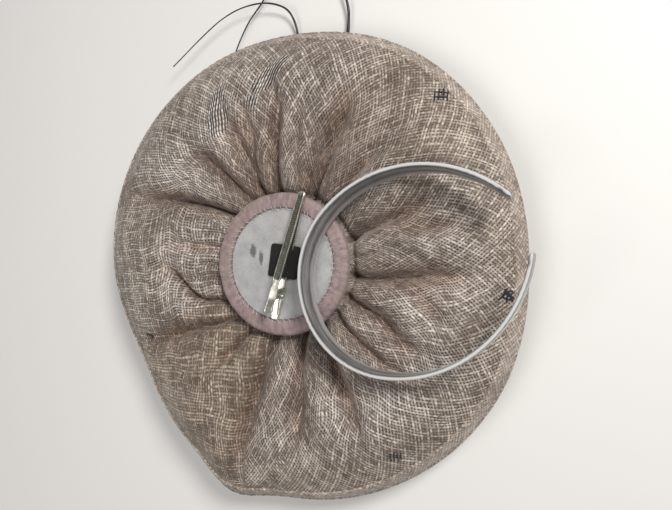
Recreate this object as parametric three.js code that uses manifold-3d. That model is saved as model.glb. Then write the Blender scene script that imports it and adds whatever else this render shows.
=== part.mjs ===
// Sinamay fascinator headpiece, lying crown-down with its underside up.
// Millimetres. +Z points out of the underside, towards the wearer's head, and +Y towards the quills.
// The origin is the middle of the felt pad's face.
import * as THREE from 'three';
import { mergeVertices } from 'three/addons/utils/BufferGeometryUtils.js';
import Module from 'manifold-3d';

const GAP = 0.3;

// ---- driving dimensions ----------------------------------------------------------------------

const BASE = { radius: 40, boardRadius: 38.5, boardThickness: 1.9, feltRadius: 31, feltThickness: 1.2 };
// the tape's flat crest: its height, and where it starts and ends from the middle
const TAPE = { crest: 0.9, crestFrom: 34, crestTo: 37 };
const FELT_STITCHES = { count: 44, inward: 0.8, outward: 1.4, low: 0.6, high: 1.15, threadRadius: 0.2 };
const GATHERING = { radius: 28.4, wander: 0.5, waves: 12, height: -4.5, threadRadius: 0.4 };

const CLOTH = { angleSteps: 60, thickness: 1.2, undersideRows: 9, crownRows: 8, centreRadius: 4 };
const CRUMPLE = { corner: 254, cornerHeight: 9, cornerWidth: 9 };
// distance from the middle to the rim, every 30 degrees from +X
const RIM_RADII = [130.5, 133, 135, 132.5, 132.5, 130, 126, 119, 131, 135, 135, 134];
// outer face of the underside cloth: share of the way from the base's edge to the rim, height
const UNDERSIDE_PROFILE = [
  [-0.1, -4.4], [-0.01, -4.4], [0.05, 0.2], [0.17, 4.6], [0.38, 7], [0.6, 6.2], [0.8, 1], [0.93, -6.6],
  [0.965, -10.3], [0.985, -13.6],
];
// outer face of the crown cloth: share of the way from the middle to the rim, height
const CROWN_PROFILE = [
  [0, -25], [0.12, -28], [0.28, -34], [0.5, -36], [0.7, -34.6], [0.85, -29.4], [0.93, -24.6],
  [0.965, -20.6], [0.985, -16.8],
];
// directions of the gathers that run out from the base, and how deep they are beside it
const GATHERS = [17, 65, 97, 109, 123, 168, 195, 217, 234, 255, 272, 300, 321, 352];
const GATHER = { depth: 3.2, width: 5, fadeFrom: 0.12, fadeTo: 0.75 };
const QUILL_TROUGH = { direction: 94, halfWidth: 20, shoulder: 16, depth: 4.6 };

const BINDING = { thickness: 0.8, rows: 2, overhang: 0.4 };

const CLIP = {
  pivot: [0, -16.5], direction: 75.8, bedHeight: 1.2, pinHeight: 5.4, pinRadius: 0.55,
  pinLength: 7.4, jawLength: 58, lowerTab: 14.5, upperTab: 10,
  sheet: 0.6, railHeight: 0.6, railWidth: 0.6, earThickness: 0.55, earRadius: 1.9,
};
const SPRING = { turns: 3.5, coil: 1.3, wire: 0.28, halfWidth: 1.5 };
const PATCH = {
  width: 17.5, length: 18.4, corner: 2, turn: -7.5, centre: [2.4, 1.4], thickness: 0.8,
  passageWidth: 5.2, passageLength: 60, passageMiddle: 18,
};

const HEADBAND = {
  crown: [23.6, -24.9, 3.5], turn: 22.2, pitch: 7, roll: -4,
  width: 12, endWidth: 9, thickness: 2.2, skin: 0.45, coreThickness: 0.7,
  crownRadius: 47, crownAngle: 65, armRadius: 66.5, halfLength: 152.8, endLength: 1.8, steps: 50,
};
// how far the band leans outwards, in degrees: at its crown, more at one end than the other, and bowed
const LEAN = { crown: 6.5, twist: 4, bow: 3.5 };

const QUILL = { radius: 0.9, tipRadius: 0.35, sides: 6 };
const WHIPPING = { halfWidth: 3.4, halfHeight: 1.9, wall: 0.55, from: 12.5, to: 17.5, height: -30.3 };
const TACK = { arm: 2.2, halfThread: 0.45, thickness: 0.5 };

const COLOURS = {
  sinamay: 0x8a7d78, binding: 0x93747a, felt: 0xb4b2b2, board: 0x8d8780, black: 0x121212,
  nickel: 0xc9c4a8, satin: 0xb9bbc0, core: 0x6d6f73, thread: 0xc7c3bd,
};

// ---- geometry helpers ------------------------------------------------------------------------

const wasm = await Module();
wasm.setup();

const radians = THREE.MathUtils.degToRad;
const lerp = THREE.MathUtils.lerp;

function smooth(value, from, to) {
  return THREE.MathUtils.smoothstep(value, from, to);
}

// Closed geometry from points and triangles, turned so that its faces point out.
function solidGeometry(points, faces) {
  const cross = new THREE.Vector3();
  const volume = faces.reduce(
    (sum, [a, b, c]) => sum + points[a].dot(cross.crossVectors(points[b], points[c])), 0);
  const geometry = new THREE.BufferGeometry().setFromPoints(points);
  geometry.setIndex(faces.flatMap(([a, b, c]) => (volume > 0 ? [a, b, c] : [a, c, b])));
  geometry.computeVertexNormals();
  return geometry;
}

// Skin over a row of equal loops. A closed row makes a ring; an open one is capped with capOutline.
function loft(loops, capOutline = null) {
  const count = loops[0].length;
  const closed = capOutline === null;
  const faces = [];
  for (let i = 0; i < loops.length - (closed ? 0 : 1); i++) {
    const here = i * count;
    const next = ((i + 1) % loops.length) * count;
    for (let k = 0; k < count; k++) {
      const k2 = (k + 1) % count;
      faces.push([here + k, here + k2, next + k2], [here + k, next + k2, next + k]);
    }
  }
  if (!closed) {
    const last = (loops.length - 1) * count;
    for (const [a, b, c] of THREE.ShapeUtils.triangulateShape(capOutline, [])) {
      faces.push([a, c, b], [last + a, last + b, last + c]);
    }
  }
  return solidGeometry(loops.flat(), faces);
}

// Ring whose section may change with the angle: sectionAt(degrees) gives [radius, height] pairs.
function ring(sectionAt, steps) {
  const loops = [];
  for (let i = 0; i < steps; i++) {
    const degrees = (360 * i) / steps;
    const angle = radians(degrees);
    loops.push(sectionAt(degrees).map(
      ([r, z]) => new THREE.Vector3(r * Math.cos(angle), r * Math.sin(angle), z)));
  }
  return loft(loops);
}

// Round rod along a curve, with its radius given at each share of the length.
function rod(points, radiusAt, sides, steps, closed = false) {
  const curve = new THREE.CatmullRomCurve3(points, closed);
  const frames = curve.computeFrenetFrames(steps, closed);
  const outline = [];
  for (let k = 0; k < sides; k++) {
    const angle = (2 * Math.PI * k) / sides;
    outline.push(new THREE.Vector2(Math.cos(angle), Math.sin(angle)));
  }
  const loops = [];
  for (let i = 0; i < steps + (closed ? 0 : 1); i++) {
    const centre = curve.getPointAt(i / steps);
    loops.push(outline.map((p) => centre.clone()
      .addScaledVector(frames.normals[i], p.x * radiusAt(i / steps))
      .addScaledVector(frames.binormals[i], p.y * radiusAt(i / steps))));
  }
  return loft(loops, closed ? null : outline);
}

function lathe(profile, steps) {
  const points = profile.map(([r, z]) => new THREE.Vector2(r, z));
  return new THREE.LatheGeometry(points, steps).rotateX(Math.PI / 2);
}

function manifold(geometry) {
  const bare = geometry.clone();
  bare.deleteAttribute('normal');
  bare.deleteAttribute('uv');
  const merged = mergeVertices(bare.index ? bare.toNonIndexed() : bare, 1e-4);
  return new wasm.Manifold(new wasm.Mesh({
    numProp: 3,
    vertProperties: new Float32Array(merged.attributes.position.array),
    triVerts: new Uint32Array(merged.index.array),
  }));
}

function geometryOf(solid) {
  const { vertProperties, triVerts } = solid.getMesh();
  const geometry = new THREE.BufferGeometry();
  geometry.setAttribute('position', new THREE.BufferAttribute(vertProperties, 3));
  geometry.setIndex(new THREE.BufferAttribute(triVerts, 1));
  geometry.computeVertexNormals();
  return geometry;
}

function material(color, roughness, metalness = 0) {
  return new THREE.MeshStandardMaterial({ color, roughness, metalness });
}

function mesh(name, geometry, look) {
  const piece = new THREE.Mesh(geometry, look);
  piece.name = name;
  return piece;
}

// ---- cloth -----------------------------------------------------------------------------------

function angleBetween(a, b) {
  return Math.abs(((a - b + 540) % 360) - 180);
}

// Distance from the middle to the rim: a round outline, softly irregular, with one folded corner.
function rimRadius(degrees) {
  const place = (((degrees % 360) + 360) % 360) / 30;
  const first = Math.floor(place);
  const share = place - first;
  const at = (k) => RIM_RADII[(k + RIM_RADII.length) % RIM_RADII.length];
  const [a, b, c, d] = [at(first - 1), at(first), at(first + 1), at(first + 2)];
  const slope = (c - a) / 2;
  const slopeEnd = (d - b) / 2;
  const round = b + slope * share + (3 * (c - b) - 2 * slope - slopeEnd) * share ** 2
    + (2 * (b - c) + slope + slopeEnd) * share ** 3;
  const away = angleBetween(degrees, CRUMPLE.corner) / CRUMPLE.cornerWidth;
  return round + CRUMPLE.cornerHeight * Math.exp(-away * away);
}

const undersideCurve = new THREE.SplineCurve(UNDERSIDE_PROFILE.map(([s, z]) => new THREE.Vector2(s, z)));
const crownCurve = new THREE.SplineCurve(CROWN_PROFILE.map(([s, z]) => new THREE.Vector2(s, z)));

function gatherDepth(degrees, share) {
  const groove = Math.max(...GATHERS.map(
    (g) => Math.exp(-((angleBetween(degrees, g) / GATHER.width) ** 2))));
  const rise = smooth(share, 0, GATHER.fadeFrom);
  const fade = 1 - smooth(share, GATHER.fadeFrom, GATHER.fadeTo);
  return GATHER.depth * groove * rise * fade;
}

function undersideFace(degrees, s) {
  const p = undersideCurve.getPoint(s);
  return [BASE.radius + (rimRadius(degrees) - BASE.radius) * p.x, p.y - gatherDepth(degrees, p.x)];
}

function crownFace(degrees, s) {
  const p = crownCurve.getPoint(s);
  const { direction, halfWidth, shoulder, depth } = QUILL_TROUGH;
  const side = 1 - smooth(angleBetween(degrees, direction), halfWidth, halfWidth + shoulder);
  const along = smooth(p.x, 0.1, 0.3) * (1 - smooth(p.x, 0.86, 0.97));
  const r = CLOTH.centreRadius + (rimRadius(degrees) - CLOTH.centreRadius) * p.x;
  return [r, p.y + depth * side * along];
}

// A point of a cloth face pushed away from it, in the plane of its section. Positive is outwards.
function offset(face, degrees, s, distance, outward) {
  const [r, z] = face(degrees, s);
  const [r0, z0] = face(degrees, Math.max(0, s - 0.02));
  const [r1, z1] = face(degrees, Math.min(1, s + 0.02));
  const length = Math.hypot(r1 - r0, z1 - z0);
  return [
    r - (outward * distance * (z1 - z0)) / length,
    z + (outward * distance * (r1 - r0)) / length,
  ];
}

function clothShell(face, rows, outward) {
  return ring((degrees) => {
    const shares = Array.from({ length: rows + 1 }, (_, j) => j / rows);
    return [
      ...shares.map((s) => face(degrees, s)),
      ...shares.reverse().map((s) => offset(face, degrees, s, -CLOTH.thickness, outward)),
    ];
  }, CLOTH.angleSteps);
}

// Bias strip folded over the edges of both cloths.
function rimBinding() {
  const over = (rows) => [...Array(BINDING.rows + 1).keys()].map((j) => 1 - (BINDING.rows - j) / rows);
  const top = over(CLOTH.undersideRows);
  const bottom = over(CLOTH.crownRows);
  const outer = GAP + BINDING.thickness;
  return ring((degrees) => {
    const middle = (undersideFace(degrees, 1)[1] + crownFace(degrees, 1)[1]) / 2;
    const edge = rimRadius(degrees) + BINDING.overhang;
    return [
      ...top.map((s) => offset(undersideFace, degrees, s, outer, 1)),
      [edge, middle],
      ...bottom.slice().reverse().map((s) => offset(crownFace, degrees, s, outer, -1)),
      ...bottom.map((s) => offset(crownFace, degrees, s, GAP, -1)),
      [edge - BINDING.thickness, middle],
      ...top.slice().reverse().map((s) => offset(undersideFace, degrees, s, GAP, 1)),
    ];
  }, CLOTH.angleSteps);
}

function clothPieces() {
  const sinamay = material(COLOURS.sinamay, 0.8);
  return [
    mesh('underside_sinamay', clothShell(undersideFace, CLOTH.undersideRows, 1), sinamay),
    mesh('crown_sinamay', clothShell(crownFace, CLOTH.crownRows, -1), sinamay),
    mesh('rim_binding', rimBinding(), sinamay),
  ];
}

// ---- base ------------------------------------------------------------------------------------

function basePieces() {
  const { radius, boardRadius, boardThickness, feltRadius, feltThickness } = BASE;
  const boardTop = -feltThickness - GAP;
  const boardBottom = boardTop - boardThickness;
  const board = lathe(
    [[0, boardBottom], [boardRadius, boardBottom], [boardRadius, boardTop], [0, boardTop]], 48);
  const felt = lathe([[0, -feltThickness], [feltRadius, -feltThickness], [feltRadius, 0], [0, 0]], 48);
  const inner = feltRadius + GAP;
  const binding = ring(() => [
    [inner, boardTop + GAP], [inner, 0], [inner + 1.1, 0.6], [TAPE.crestFrom, TAPE.crest],
    [TAPE.crestTo, TAPE.crest], [radius - 1.4, 0.5],
    [radius - 0.4, -0.3], [radius, -1.5], [radius - 0.2, -3.1], [radius - 0.9, -3.9],
    [boardRadius + GAP, boardBottom], [boardRadius + GAP, boardTop + GAP],
  ], 48);
  return [
    mesh('base_board', board, material(COLOURS.board, 0.9)),
    mesh('felt_pad', felt, material(COLOURS.felt, 0.95)),
    mesh('base_binding', binding, material(COLOURS.binding, 0.7)),
    mesh('felt_stitching', feltStitching(), material(COLOURS.thread, 0.7)),
    mesh('gathering_thread', gatheringThread(), material(COLOURS.thread, 0.7)),
  ];
}

// Whip stitches that hold the binding's edge down on the felt: one thread, in and out all round.
function feltStitching() {
  const { count, inward, outward, low, high, threadRadius } = FELT_STITCHES;
  const loops = [];
  for (let k = 0; k < 2 * count; k++) {
    const angle = (Math.PI * k) / count;
    const onTape = k % 2 === 1;
    const r = BASE.feltRadius + (onTape ? outward : -inward);
    const z = onTape ? high : low;
    loops.push([[1, 0], [0, 1], [-1, 0], [0, -1]].map(([out, up]) => new THREE.Vector3(
      (r + threadRadius * out) * Math.cos(angle), (r + threadRadius * out) * Math.sin(angle),
      z + threadRadius * up)));
  }
  return loft(loops);
}

// Running thread that draws up the edge of the underside cloth, under the board.
function gatheringThread() {
  const path = [];
  for (let k = 0; k < 2 * GATHERING.waves; k++) {
    const angle = (Math.PI * k) / GATHERING.waves;
    const r = GATHERING.radius + (k % 2 === 1 ? GATHERING.wander : -GATHERING.wander);
    path.push(new THREE.Vector3(r * Math.cos(angle), r * Math.sin(angle), GATHERING.height));
  }
  return rod(path, () => GATHERING.threadRadius, 5, 48, true);
}

// ---- clip ------------------------------------------------------------------------------------

// Pressed-steel arm: a strip with a rail along each side, given at a row of [along, height, half width].
function clipArm(stations) {
  const { sheet, railHeight, railWidth } = CLIP;
  const top = sheet + railHeight;
  const outlineAt = (half) => [
    [-half, 0], [half, 0], [half, top], [half - railWidth, top],
    [half - railWidth, sheet], [-half + railWidth, sheet], [-half + railWidth, top], [-half, top],
  ];
  const cap = outlineAt(2).map(([y, z]) => new THREE.Vector2(y, z));
  return loft(stations.map(([x, z, half]) => outlineAt(half).map(
    ([y, h]) => new THREE.Vector3(x, y, z + h))), cap);
}

// Ear with a hole for the pin, standing in the plane across the pin at the distance side.
function clipEar(side, foot, head) {
  const shape = new THREE.Shape();
  const r = CLIP.earRadius;
  const pin = CLIP.pinHeight;
  const up = head > pin;
  shape.absarc(0, pin, r, up ? Math.PI : 0, up ? 2 * Math.PI : Math.PI, false);
  shape.lineTo(up ? r : -r, up ? head : foot);
  shape.lineTo(up ? -r : r, up ? head : foot);
  shape.closePath();
  const hole = new THREE.Path();
  hole.absarc(0, pin, CLIP.pinRadius + GAP, 0, 2 * Math.PI, true);
  shape.holes.push(hole);
  const ear = new THREE.ExtrudeGeometry(
    shape, { depth: CLIP.earThickness, bevelEnabled: false, curveSegments: 5 });
  return ear.rotateX(Math.PI / 2).translate(0, side + CLIP.earThickness / 2, 0);
}

function clipSpring() {
  const { turns, coil, wire, halfWidth } = SPRING;
  const stepsPerTurn = 8;
  const points = [
    new THREE.Vector3(-9, -halfWidth, CLIP.bedHeight + CLIP.sheet + 0.7),
    new THREE.Vector3(-4, -halfWidth, CLIP.pinHeight - coil - 0.6),
  ];
  for (let k = 0; k <= turns * stepsPerTurn; k++) {
    const angle = -Math.PI / 2 + (2 * Math.PI * k) / stepsPerTurn;
    const across = -halfWidth + (2 * halfWidth * k) / (turns * stepsPerTurn);
    points.push(new THREE.Vector3(coil * Math.cos(angle), across, CLIP.pinHeight + coil * Math.sin(angle)));
  }
  points.push(new THREE.Vector3(-4.2, halfWidth, CLIP.pinHeight + coil + 0.3));
  return rod(points, () => wire, 5, 54);
}

function clipPieces() {
  const nickel = material(COLOURS.nickel, 0.3, 1);
  const bed = CLIP.bedHeight;
  const lower = clipArm([
    [CLIP.jawLength, bed, 1.5], [CLIP.jawLength - 2, bed, 2], [6, bed, 2.2], [3, bed, 3.4],
    [-3, bed, 3.4], [-5, bed, 2.4], [-CLIP.lowerTab, bed, 2.2],
  ]);
  const upper = clipArm([
    [CLIP.jawLength, bed + 1.6, 1.5], [CLIP.jawLength - 2, bed + 1.7, 2], [12, 8.4, 2.2], [9, 8.8, 2.2],
    [7, 9, 1.8], [4, 9.3, 2], [2.2, 9.5, 2.5], [-2.2, 9.8, 2.5], [-3.6, 10.1, 2.1],
    [-CLIP.upperTab, 12.3, 2],
  ]);
  const ears = (arm, half, foot, head) => {
    const side = half - CLIP.earThickness / 2;
    return geometryOf(manifold(arm)
      .add(manifold(clipEar(side, foot, head)))
      .add(manifold(clipEar(-side, foot, head))));
  };
  const lowerArm = ears(lower, 3.4, bed + 0.2, bed);
  const upperArm = ears(upper, 2.5, bed, 9.8);
  const { pinRadius, pinLength } = CLIP;
  const pinBody = new THREE.CylinderGeometry(pinRadius, pinRadius, pinLength, 10);
  const pin = mesh('clip_pin', pinBody, nickel);
  pin.position.z = CLIP.pinHeight;
  const group = new THREE.Group();
  group.position.set(CLIP.pivot[0], CLIP.pivot[1], 0);
  group.rotation.z = radians(CLIP.direction);
  group.add(
    mesh('clip_lower_arm', lowerArm, nickel),
    mesh('clip_upper_arm', upperArm, nickel),
    pin,
    mesh('clip_spring', clipSpring(), material(COLOURS.core, 0.4, 1)),
  );
  return group;
}

// Felt patch sewn over the clip's lower arm, with a passage for the arm underneath.
function clipPatch() {
  const { width, length, corner, turn, centre, thickness } = PATCH;
  const top = CLIP.bedHeight + CLIP.sheet + CLIP.railHeight + GAP + thickness;
  const w = width / 2;
  const l = length / 2;
  const shape = new THREE.Shape();
  shape.moveTo(-w + corner, -l);
  shape.lineTo(w - corner, -l);
  shape.absarc(w - corner, -l + corner, corner, -Math.PI / 2, 0, false);
  shape.absarc(w - corner, l - corner, corner, 0, Math.PI / 2, false);
  shape.absarc(-w + corner, l - corner, corner, Math.PI / 2, Math.PI, false);
  shape.absarc(-w + corner, -l + corner, corner, Math.PI, 1.5 * Math.PI, false);
  const slab = new THREE.ExtrudeGeometry(
    shape, { depth: top - GAP, bevelEnabled: false, curveSegments: 4 });
  slab.rotateZ(radians(turn)).translate(centre[0], centre[1], GAP);
  const passage = new THREE.BoxGeometry(PATCH.passageLength, PATCH.passageWidth, 2 * (top - thickness));
  passage.translate(PATCH.passageMiddle, 0, 0).rotateZ(radians(CLIP.direction));
  passage.translate(CLIP.pivot[0], CLIP.pivot[1], 0);
  const patch = geometryOf(manifold(slab).subtract(manifold(passage)));
  return mesh('clip_patch', patch, material(COLOURS.black, 0.95));
}

// ---- headband --------------------------------------------------------------------------------

// Middle line of the band: a round crown that runs into two flatter arms, with its outward direction.
function bandLine(distance) {
  const { crownRadius, crownAngle, armRadius } = HEADBAND;
  const side = Math.sign(distance) || 1;
  const far = Math.abs(distance);
  const bend = radians(crownAngle);
  const onCrown = far <= crownRadius * bend;
  const angle = onCrown ? far / crownRadius : bend + (far - crownRadius * bend) / armRadius;
  const radius = onCrown ? crownRadius : armRadius;
  const shift = onCrown ? 0 : armRadius - crownRadius;
  const centre = new THREE.Vector2(crownRadius + shift * Math.cos(bend), -shift * Math.sin(bend));
  const outward = new THREE.Vector2(-Math.cos(angle), Math.sin(angle));
  const point = centre.addScaledVector(outward, radius);
  return { x: point.x, y: side * point.y, nx: outward.x, ny: side * outward.y };
}

// Section of the band: [outwards, up] pairs, laid at a distance along it. The band narrows to its ends.
function bandLoop(distance, outline) {
  const line = bandLine(distance);
  const share = distance / HEADBAND.halfLength;
  const lean = Math.tan(radians(LEAN.crown + LEAN.twist * share + LEAN.bow * Math.sin(Math.PI * share)));
  const narrowed = lerp(1, HEADBAND.endWidth / HEADBAND.width, share * share);
  return outline.map(([out, up]) => {
    const o = out + lean * narrowed * up;
    return new THREE.Vector3(line.x + o * line.nx, line.y + o * line.ny, narrowed * up);
  });
}

function bandOutline(half, low, high, corner) {
  return [
    [half - corner, low], [half, low + corner], [half, high - corner], [half - corner, high],
    [-half + corner, high], [-half, high - corner], [-half, low + corner], [-half + corner, low],
  ];
}

function bandStrip(outline, from, to, steps) {
  const loops = [];
  for (let i = 0; i <= steps; i++) {
    loops.push(bandLoop(from + ((to - from) * i) / steps, outline));
  }
  return loft(loops, outline.map(([a, b]) => new THREE.Vector2(a, b)));
}

function headbandPieces() {
  const { thickness, width, skin, coreThickness, halfLength, endLength, steps } = HEADBAND;
  const half = thickness / 2;
  const satin = material(COLOURS.satin, 0.35);
  const rectangle = (h, low, high) => [[h, low], [h, high], [-h, high], [-h, low]];
  const outside = bandStrip(bandOutline(half, 0, width, 0.5), -halfLength, halfLength, steps);
  const inside = rectangle(half - skin, skin, width - skin);
  const hollow = bandStrip(inside, -halfLength - 1, halfLength + 1, steps);
  const ribbon = geometryOf(manifold(outside).subtract(manifold(hollow)));
  const margin = skin + GAP;
  const strip = rectangle(coreThickness / 2, margin, width - margin);
  const core = bandStrip(strip, -halfLength, halfLength, steps);
  const end = (side) => bandStrip(bandOutline(half, 0, width, 0.5),
    side * (halfLength + GAP), side * (halfLength + GAP + endLength), 1);
  const group = new THREE.Group();
  group.position.set(...HEADBAND.crown);
  group.rotation.set(radians(HEADBAND.roll), -radians(HEADBAND.pitch), radians(HEADBAND.turn), 'ZYX');
  group.add(
    mesh('headband_ribbon', ribbon, satin),
    mesh('headband_core', core, material(COLOURS.core, 0.4, 1)),
    mesh('headband_end_1', end(1), satin),
    mesh('headband_end_2', end(-1), satin),
  );
  return group;
}

// ---- quills, knot and tacks ------------------------------------------------------------------

const QUILL_ARC = [
  [-1.5, 10, -30], [-1.7, 20, -30.6], [-4, 42, -34], [-4.6, 90, -34.6], [-4.8, 130, -34.2],
  [-5.2, 145, -32.6], [-12, 156.5, -30], [-30, 160.5, -27.6], [-54, 153, -25.6], [-88, 127, -23.6],
];
const QUILL_LOOP = [
  [1.5, 10, -30], [1.7, 20, -30.6], [6, 44, -34], [16, 88, -34.6], [25.5, 126, -34.4], [28.6, 142, -33],
  [28, 155, -31.6], [21, 173, -30.8], [1, 180, -30.6], [-19, 172, -30.8], [-29, 161, -31.2],
  [-38, 151, -31.8], [-46.5, 137, -33], [-53, 120, -34],
];

function quill(name, route, steps) {
  const points = route.map((p) => new THREE.Vector3(...p));
  const taper = (share) => lerp(QUILL.radius, QUILL.tipRadius, smooth(share, 0.3, 1));
  return mesh(name, rod(points, taper, QUILL.sides, steps), material(COLOURS.black, 0.45));
}

// Thread whipped around both quill roots.
function quillBinding() {
  const { halfWidth, halfHeight, wall, from, to, height } = WHIPPING;
  const oval = (a, b, clockwise) => new THREE.Path().absellipse(0, 0, a, b, 0, 2 * Math.PI, clockwise);
  const shape = new THREE.Shape(oval(halfWidth, halfHeight, false).getPoints(14));
  shape.holes.push(new THREE.Path(oval(halfWidth - wall, halfHeight - wall, true).getPoints(14)));
  const sleeve = new THREE.ExtrudeGeometry(shape, { depth: to - from, bevelEnabled: false });
  sleeve.rotateX(Math.PI / 2).translate(0, to, height);
  return mesh('quill_binding', sleeve, material(COLOURS.black, 0.8));
}

// Rolled knot of sinamay that hides the stitches in the middle of the crown.
function crownKnot() {
  const profile = [[0, -32], [4.6, -31.4], [7.6, -29.6], [8.6, -27.6], [7.4, -26], [4, -25.6], [0, -25.6]];
  const knot = lathe(profile, 24);
  return mesh('crown_knot', knot, material(COLOURS.sinamay, 0.8));
}

// Black tacking stitches in the underside cloth: [direction, place along the cloth's profile].
const TACKS = [[44.5, 0.735], [-7, 0.74], [-56.5, 0.69], [-153.5, 0.625]];

function tack(name, degrees, s) {
  const { arm, halfThread: thin, thickness } = TACK;
  const outline = [
    [arm, -thin], [arm, thin], [thin, thin], [thin, arm], [-thin, arm], [-thin, thin],
    [-arm, thin], [-arm, -thin], [-thin, -thin], [-thin, -arm], [thin, -arm], [thin, -thin],
  ].map(([x, y]) => new THREE.Vector2(x, y));
  const shape = new THREE.Shape(outline);
  const cross = new THREE.ExtrudeGeometry(shape, { depth: thickness, bevelEnabled: false });
  const [r0, z0] = undersideFace(degrees, s - 0.01);
  const [r1, z1] = undersideFace(degrees, s + 0.01);
  const [r, z] = offset(undersideFace, degrees, s, 2 * GAP, 1);
  cross.rotateY(Math.atan2(z0 - z1, r1 - r0)).translate(r, 0, z).rotateZ(radians(degrees));
  return mesh(name, cross, material(COLOURS.black, 0.9));
}

// ---- assembly --------------------------------------------------------------------------------

const fascinator = new THREE.Group();
fascinator.add(
  ...clothPieces(),
  ...basePieces(),
  clipPatch(),
  clipPieces(),
  headbandPieces(),
  quill('quill_arc', QUILL_ARC, 44),
  quill('quill_loop', QUILL_LOOP, 60),
  quillBinding(),
  crownKnot(),
  ...TACKS.map(([degrees, s], k) => tack(`tack_${k + 1}`, degrees, s)),
);

export default fascinator;
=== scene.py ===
"""Looks of the sinamay fascinator headpiece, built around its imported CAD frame.

Shapes are worked out in millimetres, in the frame's own axes: +Z points out of the underside, towards the
wearer's head, and +Y towards the quills. They are turned into metres where a mesh is made.
"""
import math

import bmesh
import bpy
import numpy as np
from mathutils import Matrix, Vector


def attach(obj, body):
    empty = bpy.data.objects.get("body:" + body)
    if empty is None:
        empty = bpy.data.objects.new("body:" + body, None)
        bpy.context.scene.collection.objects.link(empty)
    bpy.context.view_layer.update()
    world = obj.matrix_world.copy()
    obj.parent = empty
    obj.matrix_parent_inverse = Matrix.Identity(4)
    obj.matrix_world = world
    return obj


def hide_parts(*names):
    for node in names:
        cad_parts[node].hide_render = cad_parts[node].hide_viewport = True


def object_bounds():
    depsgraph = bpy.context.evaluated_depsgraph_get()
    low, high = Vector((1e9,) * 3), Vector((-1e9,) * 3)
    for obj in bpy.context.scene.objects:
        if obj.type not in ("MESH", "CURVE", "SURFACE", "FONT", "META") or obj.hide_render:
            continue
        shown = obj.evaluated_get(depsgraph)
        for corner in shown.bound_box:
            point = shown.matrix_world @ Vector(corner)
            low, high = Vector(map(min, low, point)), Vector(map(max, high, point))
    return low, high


MM = 0.001
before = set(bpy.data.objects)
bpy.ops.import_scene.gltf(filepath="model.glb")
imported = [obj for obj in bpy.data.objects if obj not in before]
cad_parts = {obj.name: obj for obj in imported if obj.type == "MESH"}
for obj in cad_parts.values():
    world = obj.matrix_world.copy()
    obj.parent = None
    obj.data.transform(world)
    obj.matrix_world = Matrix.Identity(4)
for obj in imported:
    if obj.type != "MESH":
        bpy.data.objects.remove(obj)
cad_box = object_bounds()
lowest = cad_box[0].z / MM

# how a tube's grid wraps: its rows run along it, its columns round it
TUBE = (False, True)
# loops that round off a tube's end, and the last loop of other closed ends, as shares of the full one
CAP_LOOPS = (0.02, 0.6, 0.9)
CAP_SHARE = 0.02

# ---- driving dimensions, in millimetres and degrees --------------------------------------------

BASE_RADIUS = 40.0
FELT_RADIUS = 31.0
CROWN_CENTRE = 4.0
# distance from the middle to the rim, every 30 degrees from +X, and the rim's one folded corner
RIM_RADII = np.array([130.5, 133, 135, 132.5, 132.5, 130, 126, 119, 131, 135, 135, 134])
CORNER = {"direction": 254, "height": 9, "width": 9}
# faces of the two cloths: share of the way to the rim, height
UNDERSIDE_PROFILE = [
    (-0.1, -4.4), (-0.01, -4.4), (0.05, 0.2), (0.17, 4.6), (0.38, 7), (0.6, 6.2), (0.8, 1), (0.93, -6.6),
    (0.965, -10.3), (0.985, -13.6),
]
CROWN_PROFILE = [
    (0, -25), (0.12, -28), (0.28, -34), (0.5, -36), (0.7, -34.6), (0.85, -29.4), (0.93, -24.6),
    (0.965, -20.6), (0.985, -16.8),
]
# where along each profile the rim's binding begins
BINDING_FROM = {"underside": 7 / 9, "crown": 6 / 8}
# distance between the sinamay's threads
THREAD_PITCH = 1.7
# length of cloth that goes round the rim
CUT_LENGTH = 830.0
# how far the underside's cloth lies under its profile, and the binding outside both
CLOTH_INSET = 0.4
# least height of the crown's cloth over the lowest point of the CAD
CROWN_MARGIN = 0.25
# how finely the cloths are divided: round the circle, then from the middle to the rim
UNDERSIDE_GRID = (600, 144)
CROWN_GRID = (480, 120)

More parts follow.
